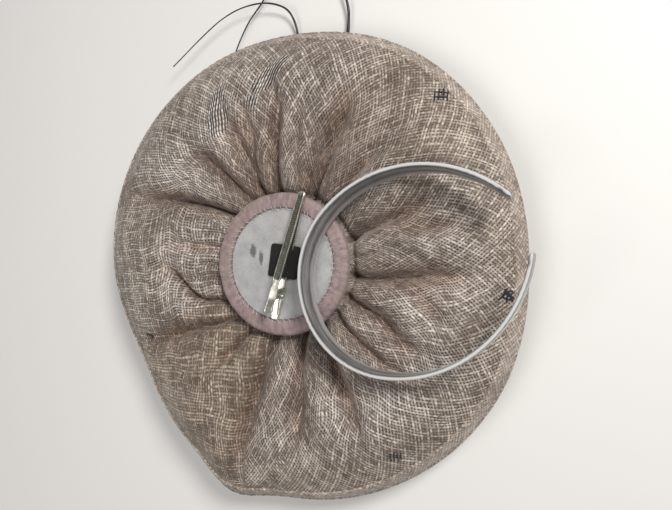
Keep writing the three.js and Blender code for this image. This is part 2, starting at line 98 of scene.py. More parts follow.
# valleys of the underside: route as (radius, direction), how deep, how wide beside the base
CREASES = [
    ([(40, 69), (61, 67), (84, 66), (108, 68)], 18, 3.5),
    ([(40, 97), (52, 95.5), (88, 91), (106, 93)], 13, 2.8),
    ([(40, 110), (70, 111.5), (98, 112)], 13, 3.0),
    ([(56, 84), (72, 82), (96, 82)], 6, 2.4),
    ([(50, 107), (79, 104), (102, 105)], 9, 2.4),
    ([(40, 121), (63, 125), (91, 130)], 12, 2.8),
    ([(40, 138), (68, 148), (97, 156), (116, 158)], 15, 2.4),
    ([(40, 168), (52, 171), (72, 172)], 6, 2.6),
    ([(40, 190), (52, 190), (66, 188)], 4, 2.4),
    ([(40, 212), (56, 202), (61, 196), (67, 186), (76, 181)], 11, 2.5),
    ([(40, 228), (63, 216), (80, 212), (102, 209)], 12, 2.7),
    ([(40, 244), (47, 240), (72, 236)], 11, 3.0),
    ([(40, 262), (57, 259), (70, 258), (130, 255)], 12, 3.2),
    ([(40, 286), (60, 280), (106, 274)], 12, 3.0),
    ([(40, 303), (63, 300), (108, 297)], 11, 3.0),
    ([(66, 283), (85, 281), (106, 280)], 5, 2.6),
    ([(40, 318), (52, 317), (85, 319), (110, 325)], 9, 2.8),
    ([(40, 334), (65, 334), (77, 330), (96, 330)], 12, 3.0),
    ([(40, 351), (67, 354), (85, 356), (108, 357)], 14, 3.0),
    ([(40, 5), (55, 7), (74, 8)], 5, 2.4),
    ([(72, 350), (86, 346), (97, 343)], 7, 2.6),
    ([(68, 16), (88, 13), (104, 11)], 8, 2.6),
    ([(40, 19), (50, 21), (92, 21)], 13, 3.0),
    ([(40, 34), (55, 35), (72, 34)], 5, 2.4),
    ([(40, 47), (62, 49), (86, 46)], 10, 3.0),
]
SMALL_GATHERS = {"count": 44, "begin": 38, "depth": (2.5, 6.0), "width": (1.2, 1.9), "reach": (56, 84)}
CROWN_GATHERS = {"count": 26, "begin": 3, "depth": (1.6, 4.2), "width": (1.6, 2.6), "reach": (38, 104)}
# places where dark net shows through the cloth: (x, y, half length, half width, direction)
SHOW_THROUGH = [(-5.3, 105.4, 14, 5.0, 41), (-39, 87, 15, 6.2, 86), (-17, 91, 4.5, 3.2, 20)]
# stretch of the underside that is cut along the threads instead of across them
STRAIGHT_PANEL = (157, 257)
# stretches of the underside that are browner and darker, their darkening painted shade: from and to which
# direction, from which radius, and how much
BROWN_SHADE_PANELS = [(208, 258, 30, 1.0), (24, 68, 62, 0.7), (160, 204, 55, 0.4)]

# pivot and direction lie in the felt's plane; bed, pin, sheet and rail are heights or thicknesses
CLIP = {
    "pivot": (0, -16.5), "direction": 75.8, "bed": 1.2, "pin": 5.4,
    "jaw": 58, "lower_tab": 14.5, "upper_tab": 10, "sheet": 0.6, "rail": 0.6,
}
# layers: share of the outline, place across the sheet
EAR = {
    "radius": 1.9,
    "layers": [(0.02, -0.27), (0.9, -0.27), (1, -0.17), (1, 0.17), (0.9, 0.27), (0.02, 0.27)],
}
PIN = {"half_length": 3.7, "head_radius": 0.85, "radius": 0.55}
SPRING = {"coil_radius": 1.3, "half_length": 1.5, "turns": 3.5, "wire_radius": 0.28}
# distance between the cross lines pressed into the clip's channels
TOOTH_PITCH = 1.1
# layers: share of the outline, height
PATCH = {
    "width": 17.5, "length": 18.4, "turn": -7.5, "centre": (2.4, 1.4), "top": 3.5, "roundness": 0.16,
    "layers": [(1.0, 0.4), (1.01, 0.9), (1.0, 1.3), (0.97, 1.65), (0.9, 1.95), (0.8, 2.1), (0.6, 2.2),
               (0.4, 2.25), (0.2, 2.3), (0.01, 2.3)],
}
HEADBAND = {
    "crown": (23.6, -24.9, 3.5), "turn": 22.2, "pitch": 7, "roll": -4, "width": 12, "end_width": 9,
    "thickness": 2.2, "crown_radius": 47, "crown_angle": 65, "arm_radius": 66.5, "half_length": 152.8,
    "end": 1.8, "gap": 0.3,
}
# section of the band: shares of half its thickness, heights. Then how much painted edge highlight, and how
# much painted highlight and painted shade along its inner face, falls on each point of it
BAND_OUTLINE = [
    (0.3, 0.22), (0.8, 0.3), (1, 1.0), (1, 2.5), (1, 5.0), (1, 7.5), (1, 9.8), (0.98, 10.9), (0.8, 11.6),
    (0.4, 11.95), (-0.4, 11.95), (-0.8, 11.6), (-0.98, 10.9), (-1, 9.8), (-1, 7.5), (-1, 5.0), (-1, 2.5),
    (-1, 1.0), (-0.9, 0.4), (-0.5, 0.05), (0.5, 0.0), (0.85, 0.1),
]
BAND_EDGE_HIGHLIGHT = [0] * 8 + [0.3, 1, 1, 0.25] + [0] * 5 + [0.25, 0.7, 0.7, 0.5, 0.2]
BAND_LIGHT_AND_SHADE = [0] * 11 + [-0.6, -1, 0, 0.1, -0.7, 0.9, 0.5] + [0] * 4
# how far the band leans outwards, in degrees: at its crown, more at one end than the other, and bowed
LEAN = {"crown": 6.5, "twist": 4, "bow": 3.5}
QUILL_ARC = [
    (-1.5, 10, -30), (-1.7, 20, -30.6), (-4, 42, -34), (-4.6, 90, -34.6), (-4.8, 130, -34.2),
    (-5.2, 145, -32.6), (-12, 156.5, -30), (-30, 160.5, -27.6), (-54, 153, -25.6), (-88, 127, -23.6),
]
QUILL_LOOP = [
    (1.5, 10, -30), (1.7, 20, -30.6), (6, 44, -34), (16, 88, -34.6), (25.5, 126, -34.4), (28.6, 142, -33),
    (28, 155, -31.6), (21, 173, -30.8), (1, 180, -30.6), (-19, 172, -30.8), (-29, 161, -31.2),
    (-38, 151, -31.8), (-46.5, 137, -33), (-53, 120, -34),
]
# radius of a quill at its root and at its tip
QUILL_RADIUS = (0.9, 0.35)
WHIPPING = {"turns": 11, "begin": 12.7, "pitch": 0.44}

# ---- camera, floor and light -------------------------------------------------------------------

# place and lens in millimetres, lean in degrees from straight down
CAMERA = {"place": (137.25, 5.0, 287.4), "lean": 20, "lens": 30.54}


def make_camera():
    data = bpy.data.cameras.new("camera")
    data.lens = CAMERA["lens"]
    data.clip_start = 0.01
    camera = bpy.data.objects.new("camera", data)
    bpy.context.scene.collection.objects.link(camera)
    camera.matrix_world = (Matrix.Translation(Vector(CAMERA["place"]) * MM)
                           @ Matrix.Rotation(math.radians(CAMERA["lean"]), 4, "Y"))
    bpy.context.scene.camera = camera


def area_light(name, place, target, size, power, colour):
    data = bpy.data.lights.new(name, "AREA")
    data.shape = "DISK"
    data.size = size
    data.energy = power
    data.color = colour
    light = bpy.data.objects.new(name, data)
    bpy.context.scene.collection.objects.link(light)
    light.location = place
    light.rotation_euler = (Vector(target) - Vector(place)).to_track_quat("-Z", "Y").to_euler()


def make_lights():
    world = bpy.data.worlds.new("studio")
    world.use_nodes = True
    background = world.node_tree.nodes["Background"]
    background.inputs["Color"].default_value = (0.95, 0.97, 1.0, 1)
    background.inputs["Strength"].default_value = 0.20
    bpy.context.scene.world = world
    area_light("window", (0.52, 0.42, 0.62), (0.03, 0, 0), 0.28, 6.7, (1.0, 0.98, 0.95))
    area_light("ceiling", (-0.30, -0.30, 1.0), (0, 0, 0), 0.7, 4.5, (1.0, 0.97, 0.93))


# ---- shapes ------------------------------------------------------------------------------------


def smooth(value, low, high):
    t = np.clip((value - low) / (high - low), 0, 1)
    return t * t * (3 - 2 * t)


def turn_between(a, b):
    """Signed turn from b to a, in degrees, from -180 to 180."""
    return np.mod(a - b + 540, 360) - 180


def between(a, b, c, d, t):
    """Place at share t of the way from b to c, on a smooth curve that comes from a and goes on to d."""
    slope, slope_end = (c - a) / 2, (d - b) / 2
    return (b + slope * t + (3 * (c - b) - 2 * slope - slope_end) * t ** 2
            + (2 * (b - c) + slope + slope_end) * t ** 3)


def spline(points, share):
    """Smooth curve through the points, at each share of the way along their list."""
    points = np.array(points, float)
    last = len(points) - 1
    place = np.clip(np.asarray(share, float), 0, 1) * last
    first = np.minimum(place.astype(int), last - 1)
    return between(points[np.maximum(first - 1, 0)], points[first], points[first + 1],
                   points[np.minimum(first + 2, last)], (place - first)[..., None])


def rim_radius(degrees):
    place = np.mod(degrees, 360) / (360 // len(RIM_RADII))
    first = np.floor(place).astype(int)
    rounded = between(*(RIM_RADII[(first + k) % len(RIM_RADII)] for k in (-1, 0, 1, 2)), place - first)
    away = turn_between(degrees, CORNER["direction"]) / CORNER["width"]
    return rounded + CORNER["height"] * np.exp(-away ** 2)


def waves(degrees, counts, seed):
    """Smooth wave round the circle, about -1 to 1, made of a few whole numbers of turns."""
    phases = np.random.default_rng(seed).uniform(0, 2 * math.pi, len(counts))
    parts = [np.sin(np.radians(degrees) * n + p) for n, p in zip(counts, phases)]
    return sum(parts) / math.sqrt(len(counts))


def polar(radius, degrees, height):
    angle = np.radians(degrees)
    return np.stack(np.broadcast_arrays(radius * np.cos(angle), radius * np.sin(angle), height), -1)


def grid_corners(grid, wrap):
    """The four corners of each face of a grid, as rows and columns. wrap joins its last row or column to the
    first."""
    rows, columns = grid.shape[:2]
    i, j = np.meshgrid(np.arange(rows - (not wrap[0])), np.arange(columns - (not wrap[1])), indexing="ij")
    i, j = i.ravel(), j.ravel()
    return [(i, j), (i + 1, j), (i + 1, j + 1), (i, j + 1)]


def smooth_mesh(name, grids, wrap):
    """One mesh of one or more separate grids of points."""
    faces, start = [], 0
    for grid in grids:
        rows, columns = grid.shape[:2]
        corners = grid_corners(grid, wrap)
        faces.append(start + np.stack([(a % rows) * columns + b % columns for a, b in corners], -1))
        start += rows * columns
    faces = np.concatenate(faces)
    points = np.concatenate([grid.reshape(-1, 3) for grid in grids])
    mesh = bpy.data.meshes.new(name)
    mesh.from_pydata((points * MM).tolist(), [], faces.tolist())
    mesh.polygons.foreach_set("use_smooth", np.ones(len(faces), bool))
    return mesh


def surface(name, grid, wrap=(False, False), threads=None, values=None):
    """Mesh over a grid. threads gives each corner its place in the weave, with one more row or column where
    the grid wraps, and values gives each point numbers for its material."""
    mesh = smooth_mesh(name, [grid], wrap)
    if threads is not None:
        layer = mesh.uv_layers.new(name="threads")
        corner_threads = np.stack([threads[a, b] for a, b in grid_corners(grid, wrap)], 1)
        layer.data.foreach_set("uv", corner_threads.astype(np.float32).ravel())
    for key, value in (values or {}).items():
        attribute = mesh.attributes.new(key, "FLOAT", "POINT")
        attribute.data.foreach_set("value", value.astype(np.float32).ravel())
    return mesh


def piece(mesh, material, slot, body="fascinator", replaces=()):
    made = bpy.data.objects.new(mesh.name, mesh)
    bpy.context.scene.collection.objects.link(made)
    mesh.materials.append(material)
    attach(made, body)
    if replaces:
        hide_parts(*replaces)
    return made


def closed_piece(*about, sharp_from=None, **more):
    """Piece with every face turned outwards, and its edges sharp from an angle in degrees."""
    made = piece(*about, **more)
    work = bmesh.new()
    work.from_mesh(made.data)
    bmesh.ops.recalc_face_normals(work, faces=work.faces)
    work.to_mesh(made.data)
    work.free()
    if sharp_from is not None:
        made.data.set_sharp_from_angle(angle=math.radians(sharp_from))
    return made


def dress_node(name, look):
    """Gives a CAD node that no piece replaces its material."""
    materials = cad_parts[name].data.materials
    materials.clear()
    materials.append(look)


def capped(grid):
    """The grid with each end drawn together to nearly a point, which closes it."""
    middle = grid.mean(1, keepdims=True)
    caps = middle + (grid - middle) * CAP_SHARE
    return np.concatenate([caps[:1], grid, caps[-1:]])


def tube(path, radii, sides=10):
    """Rounded, closed tube along a row of points."""
    path = np.array(path, float)
    tangents = np.gradient(path, axis=0)
    tangents /= np.linalg.norm(tangents, axis=1, keepdims=True)
    normal = np.cross(tangents[0], (0, 0, 1.0))
    if np.linalg.norm(normal) < 1e-3:
        normal = np.cross(tangents[0], (0, 1.0, 0))
    angles = np.linspace(0, 2 * math.pi, sides, endpoint=False)
    radii = np.broadcast_to(radii, len(path))
    loops = []
    for point, tangent, radius in zip(path, tangents, radii):
        normal = normal - tangent * (normal @ tangent)
        normal /= np.linalg.norm(normal)
        across = np.cross(tangent, normal)
        loops.append(point + radius * (np.cos(angles)[:, None] * normal + np.sin(angles)[:, None] * across))

    def cap(end, shares, way):
        """Loops that round off an end of the tube."""
        return [path[end] + (loops[end] - path[end]) * k
                + way * tangents[end] * radii[end] * math.sqrt(1 - k * k) for k in shares]

    return np.array(cap(0, CAP_LOOPS, -1) + loops + cap(-1, CAP_LOOPS[::-1], 1))


# ---- materials ---------------------------------------------------------------------------------


class Value:
    """A number that a material's nodes work out. Arithmetic on it adds nodes."""

    def __init__(self, shader, socket):
        self.shader, self.socket = shader, socket

    def __add__(self, other):
        return self.shader.math("ADD", self, other)

    def __sub__(self, other):
        return self.shader.math("SUBTRACT", self, other)

    def __rsub__(self, other):
        return self.shader.math("SUBTRACT", other, self)

    def __mul__(self, other):
        return self.shader.math("MULTIPLY", self, other)

    def __truediv__(self, other):
        return self.shader.math("DIVIDE", self, other)


class Shader:
    """A material's nodes. Its calls return Values, or sockets for colours and vectors."""

    def __init__(self, name):
        self.material = bpy.data.materials.new(name)
        self.material.use_nodes = True
        self.tree = self.material.node_tree
        self.tree.nodes.clear()

    def node(self, kind, inputs=None, **settings):
        made = self.tree.nodes.new("ShaderNode" + kind)
        for key, value in settings.items():
            setattr(made, key, value)
        for key, value in (inputs or {}).items():
            self.put(made.inputs[key], value)
        return made

    def put(self, socket, value):
        if isinstance(value, Value):
            value = value.socket
        if isinstance(value, bpy.types.NodeSocket):
            self.tree.links.new(value, socket)
        elif hasattr(value, "__len__") and len(value) == 3 and socket.type == "RGBA":
            socket.default_value = (*value, 1)
        else:
            socket.default_value = value

    def output(self, kind, inputs, **settings):
        """The first thing that a new node works out."""
        return Value(self, self.node(kind, inputs, **settings).outputs[0])

    def math(self, operation, a, b=0.0, clamp=False):
        return self.output("Math", {0: a, 1: b}, operation=operation, use_clamp=clamp)

    def sine(self, value):
        return self.math("SINE", value)

    def larger(self, a, b):
        return self.math("MAXIMUM", a, b)

    def value(self, name):
        """A value stored on the mesh's points."""
        return Value(self, self.node("Attribute", attribute_name=name).outputs["Fac"])

    def threads(self):
        """Where the point lies in the cloth: two coordinates."""
        return self.split(self.node("UVMap", uv_map="threads").outputs[0])[:2]

    def tinted(self, amount, colour, tint):
        """The colour multiplied by a tint, by an amount from 0 to 1."""
        return self.mix(amount, colour, self.mix(1.0, colour, tint, "MULTIPLY"))

    def mix(self, factor, a, b, blend="MIX"):
        return self.node("Mix", {0: factor, 6: a, 7: b}, data_type="RGBA", blend_type=blend).outputs[2]

    def step(self, value, low, high, start=0.0, end=1.0):
        """Smooth change from start to end as value goes from low to high."""
        return self.output("MapRange", {0: value, 1: low, 2: high, 3: start, 4: end},
                           interpolation_type="SMOOTHSTEP")

    def join(self, x, y, z=0.0):
        return self.node("CombineXYZ", {0: x, 1: y, 2: z}).outputs[0]

    def split(self, vector):
        return [Value(self, socket) for socket in self.node("SeparateXYZ", {0: vector}).outputs[:3]]

    def grey(self, value):
        return self.node("CombineColor", {0: value, 1: value, 2: value}).outputs[0]

    def noise(self, vector, scale, detail=2.0, roughness=0.5):
        return self.output("TexNoise", {"Vector": vector, "Scale": scale, "Detail": detail,
                                        "Roughness": roughness})

    def white(self, value):
        return self.output("TexWhiteNoise", {"W": value}, noise_dimensions="1D")

    def in_mm(self, vector):
        return self.node("VectorMath", {0: vector, 3: 1 / MM}, operation="SCALE").outputs[0]

    def place(self):
        """The point in millimetres, in the frame."""
        return self.in_mm(self.node("NewGeometry").outputs["Position"])

    def own_place(self):
        """The point in millimetres, on the piece as it is at rest."""
        return self.in_mm(self.node("TexCoord").outputs["Object"])

    def bump(self, height, distance, strength):
        made = self.node("Bump", {"Height": height, "Distance": distance * MM, "Strength": strength})
        return made.outputs[0]

    def done(self, colour, roughness, normal=None, **fixed):
        bsdf = self.node("BsdfPrincipled", {"Base Color": colour, "Roughness": roughness})
        if normal is not None:
            self.put(bsdf.inputs["Normal"], normal)
        for key, value in fixed.items():
            self.put(bsdf.inputs[key.replace("_", " ")], value)
        self.tree.links.new(bsdf.outputs[0], self.node("OutputMaterial").inputs[0])
        return self.material


def thread_row(shader, across, along, seed, width):
    """Parallel threads: how far they cover, how round they stand, how light they are, and where across them
    the point lies."""
    drift = shader.noise(shader.join(across * 0.23, along * 0.05, seed), 1.0, 2.0)
    across = drift * 1.5 + across
    index = shader.math("FLOOR", across)
    run = shader.noise(shader.join(index * 7.31, along * 0.27, seed + 3.7), 1.0, 3.5, 0.6)
    own = shader.white(index + (seed * 13.0 + 0.5))
    tone = own * 0.16 + run * 0.86
    half = tone * 0.7 + (width - 0.36)
    away = shader.math("ABSOLUTE", shader.math("FRACT", across) - 0.5) * 2.0
    cover = shader.step(away, half + 0.08, half - 0.08)
    ratio = away / half
    roundness = shader.math("SUBTRACT", 1.0, ratio * ratio, clamp=True)
    return cover, roundness, tone, across


def woven(name, dark, light, gap, width, patches=False):
    """Open plain weave of slubby threads over a second, darker layer of the same cloth. The second layer's
    darkness and the near-black gaps through both are painted shade.
    """
    shader = Shader(name)
    x, y = shader.threads()
    warp_cover, warp_round, warp_tone, warp_x = thread_row(shader, x, y, 1.0, width)
    weft_cover, weft_round, weft_tone, weft_y = thread_row(shader, y, x, 5.0, width)
    lift = shader.sine(warp_x * math.pi) * shader.sine(weft_y * math.pi)
    warp_up = lift * 0.45 + 0.55
    weft_up = lift * -0.45 + 0.55
    warp_high = warp_cover * warp_up * (warp_round * 0.5 + 0.5)
    weft_high = weft_cover * weft_up * (weft_round * 0.5 + 0.5)
    height = shader.larger(warp_high, weft_high)
    on_warp = shader.step(warp_high - weft_high, -0.08, 0.08)
    blotch = shader.noise(shader.place(), 0.035, 3.0, 0.6)
    tone = warp_tone * on_warp + weft_tone * (1.0 - on_warp) + (blotch * 0.5 - 0.25)
    shade = height * 0.55 + 0.45
    thread = shader.mix(shader.step(tone, 0.30, 0.86), dark, light)
    thread = shader.mix(1.0, thread, shader.grey(shade), "MULTIPLY")
    # the layer behind shows in the gaps, its threads a little turned and darkened as painted shade; where
    # no thread lies, the gap colour is painted shade from inside the cloth
    turned_x = x * 0.985 + y * 0.11
    turned_y = y * 0.985 + x * -0.13
    behind = shader.larger(shader.sine(turned_x * (2 * math.pi)), shader.sine(turned_y * (2 * math.pi)))
    second = shader.mix(0.55, gap, dark)
    back = shader.mix(shader.step(behind, -0.1, 0.7), gap, second)
    if patches:
        ragged = shader.value("net") + (shader.noise(shader.place(), 0.5) * 0.5 - 0.25)
        shown = shader.step(ragged, 0.24, 0.46)
        back = shader.mix(shown, back, (0.006, 0.007, 0.012))
        hatch = shader.step(weft_high - warp_high, -0.1, 0.1)
        thread = shader.mix(shown * (hatch * 0.9), thread, (0.02, 0.022, 0.034))
        # painted highlight along the warp threads' crowns where the net shows through
        thread = shader.mix(shown * (warp_round * 0.35), thread, light)
        # painted shade in the creases: threads darkened to mauve-brown the deeper the cloth lies in a crease
        thread = shader.tinted(shader.value("crease_shade") * 0.85, thread, (0.64, 0.50, 0.43))
        # threads tinted browner and darker on the browner stretches, there as painted shade, and towards the
        # rim; their gaps turn a flat brown
        brown_shade = shader.value("brown_shade")
        thread = shader.tinted(brown_shade, thread, (0.82, 0.75, 0.66))
        back = shader.mix(brown_shade * 0.7, back, (0.115, 0.088, 0.062))
    cover = shader.larger(warp_cover, weft_cover)
    colour = shader.mix(cover, back, thread)
    fibre = shader.noise(shader.place(), 2.2, 2.0)
    normal = shader.bump(height + fibre * 0.12, 0.35, 0.8)
    return shader.done(colour, tone * -0.18 + 0.67, normal, Sheen_Weight=0.25, Sheen_Roughness=0.4,
                       Specular_IOR_Level=0.4)


def satin_tape(name, dark, light):
    """Mauve bias tape: fine diagonal threads, a soft lustre and small creases."""
    shader = Shader(name)
    x, y = shader.threads()
    diagonal = shader.sine((x + y) * 9.0)
    other = shader.sine((x - y) * 13.0)
    grain = diagonal * 0.6 + other * 0.4
    cloud = shader.noise(shader.join(x * 0.35, y * 0.2), 1.0, 4.0, 0.6)
    specks = shader.noise(shader.own_place(), 1.7, 3.0, 0.7)
    tone = cloud * 0.8 + specks * 0.45 + grain * 0.05
    colour = shader.mix(shader.step(tone, 0.40, 0.84), dark, light)
    faded = shader.step(shader.noise(shader.own_place(), 0.07, 3.0, 0.6), 0.46, 0.66, 0.0, 0.55)
    colour = shader.mix(faded, colour, (0.30, 0.232, 0.205))
    normal = shader.bump(grain * 0.5 + specks, 0.12, 0.6)
    return shader.done(colour, cloud * 0.2 + 0.42, normal, Sheen_Weight=0.35, Sheen_Roughness=0.35)


def felt(name, dark, light, smudges=(), fuzz=0.25):
    """Pressed felt: tangled fibres, soft clouds and a few rubbed smudges (x, y, half length, half width)."""
    shader = Shader(name)
    place = shader.own_place()
    x, y, z = shader.split(place)
    bent = shader.noise(place, 0.9, 2.0)
    stretched = shader.join(bent * 3.0 + x * 0.6, bent * -2.0 + y * 2.4, z)
    crossed = shader.join(bent * 2.0 + x * 2.6, bent * 3.0 + y * 0.7, z)
    fibres = shader.noise(stretched, 1.6, 4.0, 0.65) + shader.noise(crossed, 1.6, 4.0, 0.65)
    cloud = shader.noise(place, 0.11, 3.0, 0.55)
    tone = fibres * 0.55 + cloud * 0.55
    colour = shader.mix(shader.step(tone, 0.55, 1.05), dark, light)
    for cx, cy, half_long, half_wide in smudges:
        dx = (x - cx) / half_wide
        dy = (y - cy) / half_long
        away = shader.math("SQRT", dx * dx + dy * dy)
        away = away + (shader.noise(place, 0.7, 2.0) * 0.9 - 0.45)
        colour = shader.mix(shader.step(away, 1.15, 0.5, 0.0, 0.85), colour, (0.085, 0.08, 0.09))
    normal = shader.bump(fibres, 0.3, 0.7)
    return shader.done(colour, 0.92, normal, Sheen_Weight=fuzz, Sheen_Roughness=0.6)


def metal(name, colour, rub, roughness, ridges=False):
    """Plated metal, a little tarnished. ridges adds the cross lines pressed into the clip's channels, and
    paints shade over the channel floors, lightest where the cross lines stand highest.
    """
    shader = Shader(name)
    place = shader.own_place()
    tarnish = shader.noise(place, 0.35, 4.0, 0.65)
    x, y, z = shader.split(place)
    scratches = shader.noise(shader.join(x * 4.0, y * 0.5, z * 4.0), 1.0, 3.0, 0.6)
    tone = tarnish * 0.8 + scratches * 0.3
    tint = shader.mix(shader.step(tone, 0.42, 0.75), rub, colour)
    relief = scratches
    rough = tarnish * 0.25 + (roughness - 0.1)
    if ridges:
        groove = shader.value("groove")
        teeth = shader.sine(shader.value("along") * (2 * math.pi / TOOTH_PITCH))
        deep = shader.step(teeth, -0.4, 0.5)
        # painted shade on the channel floors between the rails, lighter where the cross lines stand high
        channel_shade = groove * (deep * -0.22 + 0.94)
        tint = shader.mix(channel_shade, tint, (0.06, 0.06, 0.042))
        relief = scratches * 0.15 + deep * groove * 1.5
    normal = shader.bump(relief, 0.08, 0.5)
    return shader.done(tint, rough, normal, Metallic=1.0)


def satin_ribbon(name):
    """Silver satin wound flat round the band: lengthwise streaks, painted highlights along its edges, painted
    highlight and shade streaks across its inner face, and painted shade where its ends are folded over.
    """
    shader = Shader(name)
    along, around = shader.threads()
    streak = shader.noise(shader.join(along * 0.02, around * 1.1), 1.0, 4.0, 0.65)
    fine = shader.noise(shader.join(along * 0.3, around * 9.0), 1.0, 2.0)
    cloud = shader.noise(shader.join(along * 0.06, around * 0.2, 4.0), 1.0, 3.0)
    # painted highlight and painted shade in streaks along the band's inner face
    tone = streak * 0.65 + cloud * 0.35 + (fine * 0.2 - 0.1) + shader.value("light_and_shade") * 0.16
    colour = shader.mix(shader.step(tone, 0.32, 0.70), (0.085, 0.084, 0.084), (0.38, 0.376, 0.372))
    # painted highlight along the band's top and bottom edges
    colour = shader.mix(shader.value("edge") * 0.88, colour, (0.68, 0.675, 0.67))
    # painted shade on the inner face where the ends are folded over
    colour = shader.mix(shader.value("fold_shade") * 0.8, colour, (0.05, 0.06, 0.075))
    normal = shader.bump(fine + streak * 0.6, 0.08, 0.6)
    return shader.done(colour, streak * 0.2 + 0.28, normal, Sheen_Weight=0.3, Sheen_Roughness=0.3,
                       Anisotropic=0.4)


def thread_look(name, dark, light):
    """Twisted sewing thread."""
    shader = Shader(name)
    x, y, z = shader.split(shader.own_place())
    twist = shader.sine((x + y + z) * 11.0)
    fuzz = shader.noise(shader.own_place(), 3.0, 3.0)
    tone = twist * 0.25 + fuzz
    colour = shader.mix(shader.step(tone, 0.2, 0.85), dark, light)
    return shader.done(colour, 0.75, shader.bump(tone, 0.1, 0.8), Sheen_Weight=0.15)


def quill_look(name):
    """Stripped, dyed feather spine: glossy, with a fine lengthwise grain."""
    shader = Shader(name)
    place = shader.own_place()
    grain = shader.noise(place, 1.4, 4.0, 0.6)
    colour = shader.mix(shader.step(grain, 0.35, 0.75), (0.006, 0.006, 0.007), (0.03, 0.028, 0.027))
    return shader.done(colour, grain * 0.3 + 0.25, shader.bump(grain, 0.12, 0.6))


def make_looks():
    return {
        "sinamay": woven("sinamay", (0.207, 0.160, 0.130), (1.0, 0.917, 0.838), (0.021, 0.0155, 0.013),
                         width=0.54, patches=True),
        "bias": woven("bias_sinamay", (0.29, 0.225, 0.18), (0.82, 0.715, 0.62), (0.085, 0.064, 0.05),
                      width=0.68),
        "tape": satin_tape("mauve_tape", (0.20, 0.140, 0.138), (0.40, 0.300, 0.292)),
        "felt": felt("pale_felt", (0.30, 0.295, 0.295), (0.52, 0.515, 0.51),
                     smudges=[(-17.3, 7.3, 4.4, 2.3), (-12.3, 3.4, 4.8, 1.5)]),
        "black_felt": felt("black_felt", (0.003, 0.003, 0.0025), (0.014, 0.0135, 0.011), fuzz=0.02),
        "nickel": metal("nickel", (0.92, 0.90, 0.83), (0.56, 0.54, 0.47), 0.27),
        "channel": metal("nickel_channel", (0.95, 0.93, 0.85), (0.62, 0.60, 0.51), 0.29, ridges=True),
        "spring": metal("spring_steel", (0.42, 0.42, 0.43), (0.22, 0.22, 0.23), 0.38),
        "ribbon": satin_ribbon("silver_satin"),
        "quill": quill_look("black_quill"),
        "black_thread": thread_look("black_thread", (0.004, 0.005, 0.010), (0.025, 0.028, 0.045)),
        "pale_thread": thread_look("pale_thread", (0.42, 0.40, 0.38), (0.80, 0.77, 0.74)),
        "buckram": felt("buckram", (0.34, 0.30, 0.26), (0.56, 0.52, 0.46)),
    }


# ---- the two cloths ----------------------------------------------------------------------------


def folds(radius, degrees, creases):
    """How far the cloth sinks into its creases, and how far it leans over them along the circle."""
    sink = np.zeros(np.broadcast(radius, degrees).shape)
    lean = np.zeros_like(sink)
    for route, depth, width in creases:
        radii, directions = zip(*route)
        line = np.interp(radius, radii, np.unwrap(directions, period=360))
        away = np.radians(turn_between(degrees, line)) * radius
        begin, end = radii[0], radii[-1]
        reach = 1 - smooth(radius, begin + 0.5 * (end - begin), end + 12)
        rise = smooth(radius, begin - 2, begin + 6) if begin > 45 else smooth(radius, 36, 41)
        wide = width * (1 + 0.014 * np.maximum(radius - BASE_RADIUS, 0))
        groove = 0.6 * np.exp(-(np.abs(away) / wide) ** 1.25) + 0.4 * np.exp(-(away / (3.2 * wide)) ** 2)
        strength = depth * reach * rise
        sink += (strength * groove) ** 2.5
        shoulder = np.exp(-((np.abs(away) - 1.5 * wide) / (0.9 * wide)) ** 2)
        lean -= np.sign(away) * 0.1 * strength * shoulder
    return sink ** (1 / 2.5), lean


def gathers(settings, seed, bend, middle, reach_of):
    """Creases from a drawn-up edge outwards, evenly spread with some wander. middle is the radius at which
    they have half their bend, and reach_of draws how far each one goes."""
    chance = np.random.default_rng(seed)
    begin = settings["begin"]
    made = []
    for k in range(settings["count"]):
        direction = 360 * (k + chance.uniform(-0.3, 0.3)) / settings["count"]
        reach = reach_of(chance)
        turn = chance.uniform(-bend, bend)
        route = [(begin, direction), (middle(reach), direction + turn / 2), (reach, direction + turn)]
        made.append((route, chance.uniform(*settings["depth"]), chance.uniform(*settings["width"])))
    return made


def small_gathers():
    """Short creases of the underside, beside the base."""
    begin = SMALL_GATHERS["begin"]

    def reach_of(chance):
        return begin + (chance.uniform(*SMALL_GATHERS["reach"]) - BASE_RADIUS) * chance.uniform(0.5, 1)

    return gathers(SMALL_GATHERS, 3, 5, lambda far: (begin + far) / 2, reach_of)


def even_columns(points, columns, share):
    """Moves the points of each closed row along it, towards equal lengths of cloth between columns."""
    rows, dense = points.shape[:2]
    closed = np.concatenate([points, points[:, :1]], 1)
    length = np.cumsum(np.linalg.norm(np.diff(closed[..., :3], axis=1), axis=2), axis=1)
    length = np.concatenate([np.zeros((rows, 1)), length], 1)
    place = share * length / length[:, -1:] + (1 - share) * np.linspace(0, 1, dense + 1)
    wanted = np.linspace(0, 1, columns, endpoint=False)
    made = np.empty((rows, columns, points.shape[2]))
    for j in range(rows):
        for axis in range(points.shape[2]):
            made[j, :, axis] = np.interp(wanted, place[j], closed[j, :, axis])
    return made


def round_weave_places(points):
    """Where each corner of a cloth cut as one round piece lies in its weave, in threads."""
    columns = points.shape[1]
    steps = np.linalg.norm(np.diff(points, axis=0), axis=2).mean(1)
    out = CROWN_CENTRE + np.concatenate([[0], np.cumsum(steps)])
    return polar(out[:, None], np.linspace(0, 360, columns + 1)[None, :], 0)[..., :2] / THREAD_PITCH + 200


